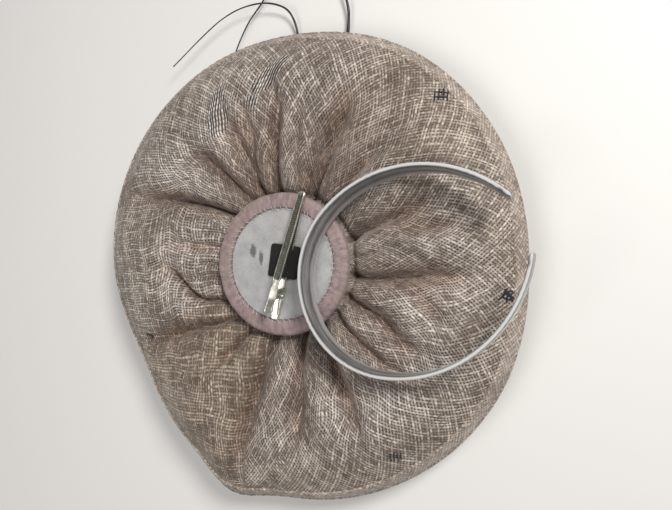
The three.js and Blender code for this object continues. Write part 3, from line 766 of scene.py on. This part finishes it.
def strip_weave_places(points):
    """Where each corner of the underside lies in its weave, in threads. The cloth is a bias strip, narrowed
    round the circle and lengthened outwards by the shear of its threads; one panel is cut along them."""
    columns = points.shape[1]
    radius = np.hypot(points[..., 0], points[..., 1]).mean(1)
    steps = np.hypot(np.diff(radius), np.diff(points[..., 2].mean(1)))
    narrowed = np.clip(radius / radius.max(), 0.62, 1)
    lengthened = np.sqrt(2 - narrowed ** 2)
    cut = np.concatenate([[0], np.cumsum(steps / lengthened[1:])])
    turn = np.arange(columns + 1) / columns
    u, v = np.meshgrid(turn * CUT_LENGTH, cut, indexing="xy")
    bias = np.stack([(u + v), (u - v)], -1) / math.sqrt(2) / THREAD_PITCH
    out = radius.max() - cut[-1] + cut
    flat = polar(out[:, None], 360 * turn[None, :], 0)[..., :2] / THREAD_PITCH
    angle = 360 * turn
    inside = (angle > STRAIGHT_PANEL[0]) & (angle < STRAIGHT_PANEL[1])
    bias[:, inside] = 1.15 * flat[:, inside] + 200
    return bias


def underside_shape(columns, rows):
    """Grid of points over the gathered cloth, each followed by how far it sinks into the creases."""
    dense = np.linspace(0, 360, 2400, endpoint=False)[None, :]
    share = spline(UNDERSIDE_PROFILE, np.linspace(0, 1, rows) ** 0.92)
    out, high = share[:, :1], share[:, 1:]
    rim = rim_radius(dense)
    radius = BASE_RADIUS + (rim - BASE_RADIUS) * out
    creases = CREASES + small_gathers()
    sink, lean = folds(radius, dense, creases)
    fade = 1 - smooth(out, 0.74, 0.9)
    lobes = 1.8 * waves(dense, (5, 7, 11), 4) * smooth(out, 0.35, 0.7) * fade
    lobes = lobes + 0.9 * waves(dense + 9 * out, (13, 17, 22), 5) * smooth(out, 0.2, 0.5) * fade
    rumple = 0.3 * waves(dense + 40 * out, (31, 39, 47), 8) * smooth(out, 0.1, 0.4) * fade
    height = high - CLOTH_INSET - sink + lobes + rumple
    direction = dense + np.degrees(lean / radius)
    points = polar(radius + 0 * height, direction + 0 * height, height)
    return even_columns(np.concatenate([points, sink[..., None]], -1), columns, 0.8)


def net_places(points):
    """1 inside the places where dark net shows through, falling to 0 outside."""
    shown = np.zeros(points.shape[:2])
    for x, y, half_long, half_wide, direction in SHOW_THROUGH:
        turn = math.radians(direction)
        dx, dy = points[..., 0] - x, points[..., 1] - y
        along = (dx * math.cos(turn) + dy * math.sin(turn)) / half_long
        across = (dy * math.cos(turn) - dx * math.sin(turn)) / half_wide
        shown = np.maximum(shown, 1 - smooth(np.hypot(along, across), 0.5, 1.3))
    return shown


def brown_shade_places(points):
    """How brown and dark the underside is, from 0 to 1: on its browner stretches, darkened there by painted
    shade, and towards its rim.
    """
    directions = np.mod(np.degrees(np.arctan2(points[..., 1], points[..., 0])), 360)
    radius = np.hypot(points[..., 0], points[..., 1])
    brown_shade = 0.55 * smooth(radius / rim_radius(directions), 0.66, 0.96)
    for begin, end, inner, amount in BROWN_SHADE_PANELS:
        across = smooth(directions, begin - 8, begin + 6) * (1 - smooth(directions, end - 6, end + 4))
        brown_shade = np.maximum(brown_shade, amount * across * smooth(radius, inner, inner + 25))
    return brown_shade


def make_underside(looks):
    """The gathered side that the photograph shows. Returns the cloth's points."""
    shape = underside_shape(*UNDERSIDE_GRID)
    points = shape[..., :3]
    # how deep each point lies in its crease sets the painted shade in the cloth's colour
    mesh = surface("underside_cloth", points, (False, True), strip_weave_places(points),
                   {"net": net_places(points), "crease_shade": smooth(shape[..., 3], 0.5, 9),
                    "brown_shade": brown_shade_places(points)})
    cloth = piece(mesh, looks["sinamay"], "sinamay", replaces=["underside_sinamay"])
    return points


def make_crown(looks):
    """The side that is seen when worn: the same cloth drawn into the middle under a knot."""
    dense = np.linspace(0, 360, 1800, endpoint=False)[None, :]
    share = spline(CROWN_PROFILE, np.linspace(0, 1, CROWN_GRID[1]))
    out, high = share[:, :1], share[:, 1:]
    rim = rim_radius(dense)
    radius = CROWN_CENTRE + (rim - CROWN_CENTRE) * out
    creases = gathers(CROWN_GATHERS, 21, 14, lambda far: far / 2,
                      lambda chance: chance.uniform(*CROWN_GATHERS["reach"]))
    sink = np.zeros_like(radius)
    for route, depth, width in creases:
        radii, directions = zip(*route)
        line = np.interp(radius, radii, directions)
        away = np.radians(turn_between(dense, line)) * radius
        wide = width * (0.6 + 0.02 * radius)
        reach = smooth(radius, 4, 14) * (1 - smooth(radius, 0.4 * radii[-1], radii[-1]))
        sink += (depth * reach * np.exp(-(np.abs(away) / wide) ** 1.4)) ** 2.5
    sink = sink ** 0.4
    trough = (1 - smooth(np.abs(turn_between(dense, 94)), 20, 36)) * smooth(out, 0.1, 0.3)
    trough = 4.6 * trough * (1 - smooth(out, 0.86, 0.97))
    lobes = 0.9 * waves(dense, (6, 9, 13), 14) * smooth(out, 0.3, 0.6) * (1 - smooth(out, 0.85, 0.98))
    height = np.maximum(high + sink + trough + lobes, lowest + CROWN_MARGIN)
    points = even_columns(polar(radius + 0 * height, dense + 0 * height, height), CROWN_GRID[0], 0.7)
    mesh = surface("crown_cloth", points[::-1], (False, True), round_weave_places(points)[::-1],
                   {key: np.zeros(points.shape[:2]) for key in ("net", "crease_shade", "brown_shade")})
    cloth = piece(mesh, looks["sinamay"], "sinamay", replaces=["crown_sinamay"])


def face_at(profile, inner, degrees, s, outward, distance):
    """Section points of a cloth face, pushed away from it by distance."""
    rim = rim_radius(degrees)

    def at(place):
        p = spline(profile, place)
        return inner + (rim[:, None] - inner) * p[None, :, 0], p[None, :, 1] + 0 * rim[:, None]

    r, z = at(s)
    r0, z0 = at(np.maximum(s - 0.02, 0))
    r1, z1 = at(np.minimum(s + 0.02, 1))
    length = np.hypot(r1 - r0, z1 - z0)
    return r - outward * distance * (z1 - z0) / length, z + outward * distance * (r1 - r0) / length


def make_binding(looks):
    """Bias strip of sinamay folded over both cloths' edges."""
    degrees = np.linspace(0, 360, 900, endpoint=False)
    wander = 0.010 * waves(degrees, (9, 16, 23, 37), 30)
    top = np.linspace(BINDING_FROM["underside"], 1, 12)
    bottom = np.linspace(BINDING_FROM["crown"], 1, 10)
    top_r, top_z = face_at(UNDERSIDE_PROFILE, BASE_RADIUS, degrees, top, 1, CLOTH_INSET)
    low_r, low_z = face_at(CROWN_PROFILE, CROWN_CENTRE, degrees, bottom, -1, CLOTH_INSET)
    top_r[:, 0] += 40 * wander
    tucked_r, tucked_z = face_at(UNDERSIDE_PROFILE, BASE_RADIUS, degrees, top[:1], 1, -0.6)
    edge = rim_radius(degrees)[:, None] + 0.35
    middle = (top_z[:, -1:] + low_z[:, -1:]) / 2
    swing = np.array([[0.82, 0.25, -0.25, -0.82]]) * (top_z[:, -1:] - low_z[:, -1:]) / 2
    turn_r = edge - 0.5 * np.abs(swing) / np.abs(swing).max()
    radius = np.concatenate([tucked_r + 40 * wander[:, None], top_r, turn_r, low_r[:, ::-1]], 1)
    height = np.concatenate([tucked_z, top_z, middle + swing, low_z[:, ::-1]], 1)
    across = np.arange(radius.shape[1])[None, :]
    pucker = 0.28 * np.sin(np.radians(degrees)[:, None] * 148 + across * 0.55
                           + 5 * waves(degrees, (3, 5, 8), 31)[:, None])
    pucker = pucker * (0.4 + 0.6 * (waves(degrees, (7, 12, 19), 32)[:, None] > -0.2))
    height = height + pucker * np.where(across < 13, 1, -1) * smooth(across, 0, 3)
    points = polar(radius, degrees[:, None], height)
    steps = np.linalg.norm(np.diff(points, axis=1), axis=2).mean(0)
    v = np.concatenate([[0], np.cumsum(steps)])
    u = np.linspace(0, CUT_LENGTH, len(degrees) + 1)
    threads = np.stack([u[:, None] + v[None, :], u[:, None] - v[None, :]], -1) / math.sqrt(2) / THREAD_PITCH
    mesh = surface("rim_bias_binding", points, (True, False), threads)
    binding = piece(mesh, looks["bias"], "bias_sinamay", replaces=["rim_binding"])


# ---- base --------------------------------------------------------------------------------------

# the tape's section, from the felt over the ring: radius, height
TAPE_SECTION = [
    (31.2, -1.1), (31.25, -0.2), (31.6, 0.5), (32.6, 0.95), (34.0, 1.1), (35.4, 1.05), (35.9, 0.99),
    (36.5, 1.0), (37.8, 0.8), (39.0, 0.3), (39.8, -0.8), (39.9, -2.2), (39.4, -3.5), (38.9, -3.9),
]
TAPE_GRID = (480, 44)
WHIP_STITCHES = 58
LOOSE_FIBRES = 240


def make_base(looks):
    degrees = np.linspace(0, 360, TAPE_GRID[0], endpoint=False)[:, None]
    profile = spline(TAPE_SECTION, np.linspace(0, 1, TAPE_GRID[1]))
    across = np.linspace(0, 1, TAPE_GRID[1])[None, :]
    inside = smooth(across, 0, 0.15) * (1 - smooth(across, 0.8, 1))
    creases = (0.07 * waves(degrees + 3 * across, (37, 53, 71), 40)
               + 0.09 * waves(degrees - 6 * across, (13, 19, 29), 41))
    seam = turn_between(degrees + 30 * (across - 0.5) * 0.35, 184)
    lap = 0.28 * (smooth(seam, -0.4, 0.5) - smooth(seam, 7, 9))
    radius = profile[None, :, 0] + 0.12 * waves(degrees, (11, 23), 42)
    height = profile[None, :, 1] + (creases + lap) * inside
    points = polar(radius, degrees + 0 * radius, height)
    u = np.linspace(0, 2 * math.pi * 36, len(degrees) + 1)
    v = np.linspace(0, 13, TAPE_GRID[1])
    threads = np.stack(np.meshgrid(u, v, indexing="ij"), -1)
    ring = piece(surface("base_tape", points, (True, False), threads), looks["tape"], "mauve_tape",
                 replaces=["base_binding"])

    share = np.linspace(0, 1, 40)
    out = np.concatenate([share * (FELT_RADIUS - 0.5), [FELT_RADIUS - 0.2, FELT_RADIUS, FELT_RADIUS - 0.05]])
    drop = np.concatenate([0 * share, [-0.12, -0.5, -1.1]])
    angle = np.linspace(0, 360, 160, endpoint=False)[:, None]
    ripple = 0.05 * waves(angle + 3 * out, (5, 9, 14), 50) * smooth(out, 4, 12) - 0.07
    pad = polar(np.maximum(out, 0.01)[None, :] + 0 * angle, angle + 0 * out, drop[None, :] + ripple)
    piece(surface("felt_disc", pad, (True, False)), looks["felt"], "pale_felt", replaces=["felt_pad"])
    make_stitches(looks)
    dress_node("base_board", looks["buckram"])
    dress_node("gathering_thread", looks["pale_thread"])


def make_stitches(looks):
    """Whip stitches over the tape's inner edge, with loose fibres that stand out of the felt."""
    chance = np.random.default_rng(60)
    stitches = []
    for k in range(WHIP_STITCHES):
        start = 360 * (k + chance.uniform(-0.2, 0.2)) / WHIP_STITCHES
        slant = chance.uniform(1.6, 3.2)
        t = np.linspace(0, 1, 7)
        radius = 30.1 + 2.3 * t + 0.15 * chance.uniform(-1, 1)
        height = 0.12 + 0.95 * t + 0.55 * np.sin(math.pi * t)
        path = polar(radius, start + slant * t, height)
        stitches.append(tube(path, 0.17, 6))
    for _ in range(LOOSE_FIBRES):
        start = chance.uniform(0, 360)
        t = np.linspace(0, 1, 5)
        radius = chance.uniform(30.4, 31.4) + chance.uniform(-1.4, 1.0) * t
        height = 0.25 + chance.uniform(0.3, 1.0) * np.sin(math.pi * t * chance.uniform(0.4, 0.95))
        path = polar(radius, start + chance.uniform(-3, 3) * t, height)
        stitches.append(tube(path, 0.05, 4))
    piece(smooth_mesh("felt_whip_stitches", stitches, TUBE), looks["pale_thread"], "pale_thread",
          replaces=["felt_stitching"])


# ---- clip --------------------------------------------------------------------------------------


def clip_place(local):
    """Points given along the clip, across it and above the felt, put in the frame."""
    local = np.asarray(local, float)
    angle = math.radians(CLIP["direction"])
    x = CLIP["pivot"][0] + local[..., 0] * math.cos(angle) - local[..., 1] * math.sin(angle)
    y = CLIP["pivot"][1] + local[..., 0] * math.sin(angle) + local[..., 1] * math.cos(angle)
    return np.stack([x, y, local[..., 2]], -1)


def channel_section(half, depth):
    """Outline of a pressed channel: a floor between two rounded rails. Half widths are shares of half."""
    sheet, rail = CLIP["sheet"], CLIP["rail"]
    inner = half - 0.6
    top = sheet + rail * depth
    return np.array([
        (-half + 0.12, 0), (half - 0.12, 0), (half, 0.12), (half, top - 0.22), (half - 0.1, top - 0.04),
        (half - 0.3, top), (half - 0.5, top - 0.04), (inner, top - 0.22), (inner - 0.06, sheet - 0.02),
        (inner * 0.5, sheet - 0.08), (-inner * 0.5, sheet - 0.08), (-inner + 0.06, sheet - 0.02),
        (-inner, top - 0.22), (-half + 0.5, top - 0.04), (-half + 0.3, top), (-half + 0.1, top - 0.04),
        (-half, top - 0.22), (-half, 0.12),
    ])


# which points of the channel's outline lie on its grooved floor
GROOVE = [0] * 8 + [1] * 4 + [0] * 6


def clip_arm(name, stations, look, body, node):
    """Arm lofted through stations of (along, height, half width, rail depth), with rounded ends."""
    stations = np.array(stations, float)
    tip, tail = stations[0, 0], stations[-1, 0]
    along = np.concatenate([[tip], np.arange(math.floor(tip) - 0.5, tail, -0.5), [tail]])
    table = np.stack([np.interp(-along, -stations[:, 0], stations[:, k]) for k in (1, 2, 3)], 1)
    kernel = np.array([1, 2, 3, 2, 1]) / 9
    for k in range(3):
        padded = np.concatenate([[table[0, k]] * 2, table[:, k], [table[-1, k]] * 2])
        table[:, k] = np.convolve(padded, kernel, "valid")
    ends = np.minimum(np.abs(along - along[0]), np.abs(along - along[-1]))
    table[:, 1] *= 0.55 + 0.45 * np.sqrt(np.clip(ends / 1.6, 0, 1))
    loops, groove, reach = [], [], []
    for x, (z, half, depth) in zip(along, table):
        outline = channel_section(half, depth)
        loops.append([(x, y, z + h) for y, h in outline])
        groove.append([g * (x > 8) * min(depth, 1) for g in GROOVE])
        reach.append([x] * len(outline))
    values = {key: np.array([rows[0]] + rows + [rows[-1]])
              for key, rows in (("groove", groove), ("along", reach))}
    grid = capped(clip_place(np.array(loops)))
    closed_piece(surface(name, grid, TUBE, values=values), look, "nickel", body, [node], sharp_from=50)


def clip_ears(name, apart, far, look, body):
    """Pair of ears that carry the pin: round on one side of it, and square as far as the arm they are on."""
    grids = []
    for side in (-1, 1):
        angles = np.linspace(0, 2 * math.pi, 36, endpoint=False)
        outline = np.stack([EAR["radius"] * np.cos(angles), CLIP["pin"] + EAR["radius"] * np.sin(angles)], 1)
        squared = outline[:, 1] > CLIP["pin"] if far > CLIP["pin"] else outline[:, 1] < CLIP["pin"]
        outline[squared, 1] = far
        outline[squared, 0] = np.clip(outline[squared, 0] * 1.3, -EAR["radius"], EAR["radius"])
        middle = np.array([0, (CLIP["pin"] + far) / 2])
        layers = []
        for shrink, offset in EAR["layers"]:
            shape = middle + (outline - middle) * shrink
            layers.append([(x, side * apart + offset, z) for x, z in shape])
        grids.append(clip_place(np.array(layers)))
    closed_piece(smooth_mesh(name, grids, TUBE), look, "nickel", body, sharp_from=40)


def make_clip(looks):
    bed, pin = CLIP["bed"], CLIP["pin"]
    clip_arm("clip_lower_jaw", [
        (CLIP["jaw"], bed, 1.5, 0.3), (CLIP["jaw"] - 2, bed, 2, 1), (6, bed, 2.2, 1), (3, bed, 3.4, 1),
        (-3, bed, 3.4, 1), (-5, bed, 2.4, 0.8), (-9, bed, 2.5, 0.5), (-CLIP["lower_tab"], bed, 2.2, 0.2),
    ], looks["channel"], "fascinator", "clip_lower_arm")
    clip_arm("clip_upper_jaw", [
        (CLIP["jaw"], bed + 1.6, 1.5, 0.3), (CLIP["jaw"] - 2, bed + 1.7, 2, 1), (12, 8.4, 2.2, 1.1),
        (9, 8.8, 2.2, 1.2), (7.5, 9, 1.7, 0.5), (4, 9.3, 1.7, 0.2), (2.6, 9.5, 2.4, 0.1), (-2, 9.8, 2.4, 0.1),
        (-3.6, 10.1, 2.1, 0.1), (-CLIP["upper_tab"], 12.3, 2.0, 0.1),
    ], looks["channel"], "clip_jaw", "clip_upper_arm")
    clip_ears("clip_lower_ears", 3.1, bed + 0.3, looks["nickel"], "fascinator")
    clip_ears("clip_upper_ears", 2.2, 9.8, looks["nickel"], "clip_jaw")
    pin_path = clip_place([(0, y, pin) for y in np.linspace(-PIN["half_length"], PIN["half_length"], 9)])
    radii = np.array([PIN["head_radius"]] * 2 + [PIN["radius"]] * 5 + [PIN["head_radius"]] * 2)
    closed_piece(smooth_mesh("clip_hinge_pin", [tube(pin_path, radii, 16)], TUBE), looks["nickel"], "nickel",
                 replaces=["clip_pin"])
    coil, side = SPRING["coil_radius"], SPRING["half_length"]
    k = np.linspace(0, 1, 90)
    wound = -math.pi / 2 + 2 * math.pi * SPRING["turns"] * k
    coils = np.stack([coil * np.cos(wound), -side + 2 * side * k, pin + coil * np.sin(wound)], 1)
    lower_leg = [(-9, -side, bed + 1.3), (-4, -side, pin - 1.9), coils[0]]
    upper_leg = [coils[-1], (-2, side, pin + coil + 0.1), (-4.2, side, pin + coil + 0.3)]
    path = np.concatenate([spline(lower_leg, np.linspace(0, 0.95, 14)), coils,
                           spline(upper_leg, np.linspace(0.06, 1, 8))])
    wire = tube(clip_place(path), SPRING["wire_radius"], 8)
    closed_piece(smooth_mesh("clip_coil_spring", [wire], TUBE), looks["spring"], "spring_steel",
                 replaces=["clip_spring"])
    make_patch(looks)


def make_patch(looks):
    """Felt patch over the lower jaw, rounded at its edges and sewn down round them."""
    angles = np.linspace(0, 2 * math.pi, 96, endpoint=False)
    half_w, half_l = PATCH["width"] / 2, PATCH["length"] / 2
    square = np.stack([np.sign(wave) * np.abs(wave) ** PATCH["roundness"]
                       for wave in (np.cos(angles), np.sin(angles))], 1)
    ragged = 1 + 0.008 * waves(np.degrees(angles), (7, 12, 19, 31), 70)[:, None]
    layers = []
    direction = math.radians(CLIP["direction"] - PATCH["turn"])
    for shrink, height in PATCH["layers"]:
        ring = square * ragged * (half_w, half_l) * shrink
        across = ring[:, 0] * math.sin(direction) - ring[:, 1] * math.cos(direction)
        over_arm = np.exp(-(across / 3.4) ** 4)
        raised = (PATCH["top"] - PATCH["layers"][-1][1]) * over_arm * smooth(height, 1.2, 2.0)
        layers.append(np.concatenate([ring, (height + raised)[:, None]], 1))
    grid = np.array(layers)
    turn = math.radians(PATCH["turn"])
    x = grid[..., 0] * math.cos(turn) - grid[..., 1] * math.sin(turn) + PATCH["centre"][0]
    y = grid[..., 0] * math.sin(turn) + grid[..., 1] * math.cos(turn) + PATCH["centre"][1]
    closed_piece(surface("black_felt_patch", np.stack([x, y, grid[..., 2]], -1), TUBE),
                 looks["black_felt"], "black_felt", replaces=["clip_patch"])


# ---- headband ----------------------------------------------------------------------------------


def band_line(distance):
    """Middle line of the band and its outward direction, at distances along it."""
    bend = math.radians(HEADBAND["crown_angle"])
    crown, arm = HEADBAND["crown_radius"], HEADBAND["arm_radius"]
    side = np.where(distance < 0, -1.0, 1.0)
    far = np.abs(distance)
    on_crown = far <= crown * bend
    angle = np.where(on_crown, far / crown, bend + (far - crown * bend) / arm)
    radius = np.where(on_crown, crown, arm)
    shift = np.where(on_crown, 0, arm - crown)
    out = np.stack([-np.cos(angle), side * np.sin(angle)], -1)
    centre = np.stack([crown + shift * math.cos(bend), -side * shift * math.sin(bend)], -1)
    return centre + radius[:, None] * out, out


def band_place(points):
    turn = (Matrix.Rotation(math.radians(HEADBAND["turn"]), 3, "Z")
            @ Matrix.Rotation(-math.radians(HEADBAND["pitch"]), 3, "Y")
            @ Matrix.Rotation(math.radians(HEADBAND["roll"]), 3, "X"))
    return points @ np.array(turn).T + np.array(HEADBAND["crown"])


def make_headband(looks):
    """Flat band covered in satin: two faces, softly rolled edges, and ends folded over."""
    half, width, length = HEADBAND["thickness"] / 2, HEADBAND["width"], HEADBAND["half_length"]
    reach = length + HEADBAND["gap"] + HEADBAND["end"]
    outline = np.array(BAND_OUTLINE) * (half, 1)
    around = np.concatenate([[0], np.cumsum(np.linalg.norm(np.diff(outline, axis=0), axis=1))])
    distance = np.linspace(-reach, reach, 460)
    line, out = band_line(distance)
    share = distance / HEADBAND["half_length"]
    lean = LEAN["crown"] + LEAN["twist"] * share + LEAN["bow"] * np.sin(math.pi * share)
    lean = np.tan(np.radians(lean))[:, None]
    narrowed = (1 + (HEADBAND["end_width"] / width - 1) * share ** 2)[:, None]
    taper = 1 - 0.55 * smooth(np.abs(distance), reach - 1.6, reach) ** 2
    crinkle = (0.06 * np.sin(distance[:, None] * 1.7 + outline[None, :, 1])
               * waves(distance * 2.0, (3, 5, 9), 80)[:, None])
    up = narrowed * outline[None, :, 1] + 0.04 * waves(distance * 3, (4, 7, 11), 81)[:, None]
    off = (outline[None, :, 0] + crinkle) * taper[:, None] + lean * up
    grid = np.stack([line[:, None, 0] + off * out[:, None, 0], line[:, None, 1] + off * out[:, None, 1],
                     up + 0 * off], -1)
    grid = band_place(capped(grid))
    along = np.concatenate([[distance[0]], distance, [distance[-1]]])
    threads = np.stack(np.meshgrid(along, around, indexing="ij"), -1)
    # painted shade on the inner face near each end, where the satin is folded over
    fold_shade = np.exp(-((np.abs(along) - (length - 2.5)) / 1.6) ** 2)[:, None] * (outline[None, :, 0] < 0)
    values = {"edge": np.broadcast_to(BAND_EDGE_HIGHLIGHT, grid.shape[:2]),
              "light_and_shade": np.broadcast_to(BAND_LIGHT_AND_SHADE, grid.shape[:2]), "fold_shade": fold_shade}
    made = piece(surface("headband_satin", grid, (False, False), threads, values), looks["ribbon"],
                 "silver_satin", "headband", ["headband_ribbon", "headband_end_1", "headband_end_2"])
    2 * reach * MM
    1.8 * (width + HEADBAND["thickness"]) * MM
    dress_node("headband_core", looks["spring"])


# ---- quills, knot and tacks --------------------------------------------------------------------


def make_quills(looks):
    for node, route in (("quill_arc", QUILL_ARC), ("quill_loop", QUILL_LOOP)):
        share = np.linspace(0, 1, 150)
        radii = QUILL_RADIUS[0] + (QUILL_RADIUS[1] - QUILL_RADIUS[0]) * smooth(share, 0.3, 1)
        radii = radii * (1 + 0.06 * np.sin(share * 90))
        closed_piece(smooth_mesh("black_" + node, [tube(spline(route, share), radii)], TUBE), looks["quill"],
                     "black_quill", replaces=[node])
    turns = []
    angles = np.linspace(0, 2 * math.pi, 32)
    for k in range(WHIPPING["turns"]):
        y = WHIPPING["begin"] + WHIPPING["pitch"] * (k + angles / (2 * math.pi))
        turns.append(tube(np.stack([3.1 * np.cos(angles), y, -30.3 + 1.62 * np.sin(angles)], 1), 0.24, 6))
    piece(smooth_mesh("quill_whipping", turns, TUBE), looks["black_thread"], "black_thread",
          replaces=["quill_binding"])


def make_knot(looks):
    """Rolled strip of the same cloth, wound on itself over the stitches in the middle of the crown."""
    share = np.linspace(0, 1, 260)
    turns = 2.6
    angle = 2 * math.pi * turns * share
    radius = 1.2 + 5.4 * share
    path = np.stack([radius * np.cos(angle), radius * np.sin(angle), -30.4 + 2.3 * share ** 2], 1)
    thick = 1.55 * np.sin(math.pi * np.clip(share * 0.94 + 0.04, 0, 1)) ** 0.35
    grid = tube(path, thick * (1 + 0.07 * np.sin(share * 60)), 14)
    rows = grid.shape[0]
    threads = np.stack(np.meshgrid(np.linspace(0, 60, rows), np.linspace(0, 6, 15), indexing="ij"), -1)
    made = piece(surface("crown_rolled_knot", grid, TUBE, threads, {"net": np.zeros(grid.shape[:2])}),
                 looks["bias"], "sinamay", replaces=["crown_knot"])


# each tack: direction, share of the way to the rim, and its stitches as (across, along, length, turn)
TACKS = {
    "tack_1": (44.5, 0.735, [(-3, -1, 5, 90), (-1, 0, 6, 88), (1, 0.5, 6, 92), (3, -0.5, 5, 90),
                             (0, -1.5, 6, 2), (0, 1.2, 7, -3)]),
    "tack_2": (-7, 0.74, [(-1.5, 0, 6, 40), (1.0, 0.6, 6.5, -46), (0, -1, 5, 85), (0.5, 1.8, 4, 10),
                          (-1.2, 1.2, 5, 60), (1.6, -0.8, 5.4, -62), (2.2, 0.8, 4.6, 35),
                          (-0.4, -1.6, 4.4, -20)]),
    "tack_3": (-56.5, 0.69, [(-2.4, 0, 4.2, 90), (-0.8, 0.4, 4.6, 86), (0.9, -0.3, 4.4, 93),
                             (2.4, 0.2, 3.6, 88)]),
    "tack_4": (-153.5, 0.625, [(0, 0, 4.6, -18), (1.0, -0.5, 2.4, -50)]),
}


def make_tacks(looks, cloth_points):
    """Black stitches that hold the cloth to the net inside it, lying on the cloth where each tack is."""
    flat = cloth_points.reshape(-1, 3)
    for node, (direction, share, stitches) in TACKS.items():
        out = spline(UNDERSIDE_PROFILE, share)[0]
        radius = BASE_RADIUS + (rim_radius(np.array(float(direction))) - BASE_RADIUS) * out
        centre = polar(radius, np.array(float(direction)), 0.0)
        grids = []
        for across, along, length, turn in stitches:
            t = np.linspace(-0.5, 0.5, 9)
            angle = math.radians(turn)
            x = centre[0] + across + length * t * math.cos(angle)
            y = centre[1] + along + length * t * math.sin(angle)
            z = [flat[np.argmin((flat[:, 0] - a) ** 2 + (flat[:, 1] - b) ** 2), 2] for a, b in zip(x, y)]
            z = np.convolve(np.concatenate([[z[0]], z, [z[-1]]]), [0.25, 0.5, 0.25], "valid")
            lift = 0.5 * np.cos(math.pi * t) + 0.3
            grids.append(tube(np.stack([x, y, z + lift], 1), 0.36, 6))
        piece(smooth_mesh(node + "_stitches", grids, TUBE), looks["black_thread"], "black_thread",
              replaces=[node])


# ---- scene -------------------------------------------------------------------------------------


def make_floor():
    shader = Shader("pale_floor")
    tone = shader.noise(shader.place(), 0.004, 2.0)
    colour = shader.mix(tone, (0.80, 0.79, 0.77), (0.84, 0.83, 0.81))
    look = shader.done(colour, 0.6)
    side, height = 3000, lowest - 0.05
    corners = np.array([[(x, y, height) for y in (-side, side)] for x in (-side, side)])
    floor = bpy.data.objects.new("floor", surface("floor", corners))
    floor.data.materials.append(look)
    bpy.context.scene.collection.objects.link(floor)


make_camera()
make_lights()
make_floor()
looks = make_looks()
cloth_points = make_underside(looks)
make_crown(looks)
make_binding(looks)
make_base(looks)
make_clip(looks)
make_headband(looks)
make_quills(looks)
make_knot(looks)
make_tacks(looks, cloth_points)
bpy.context.scene.view_settings.view_transform = "Standard"
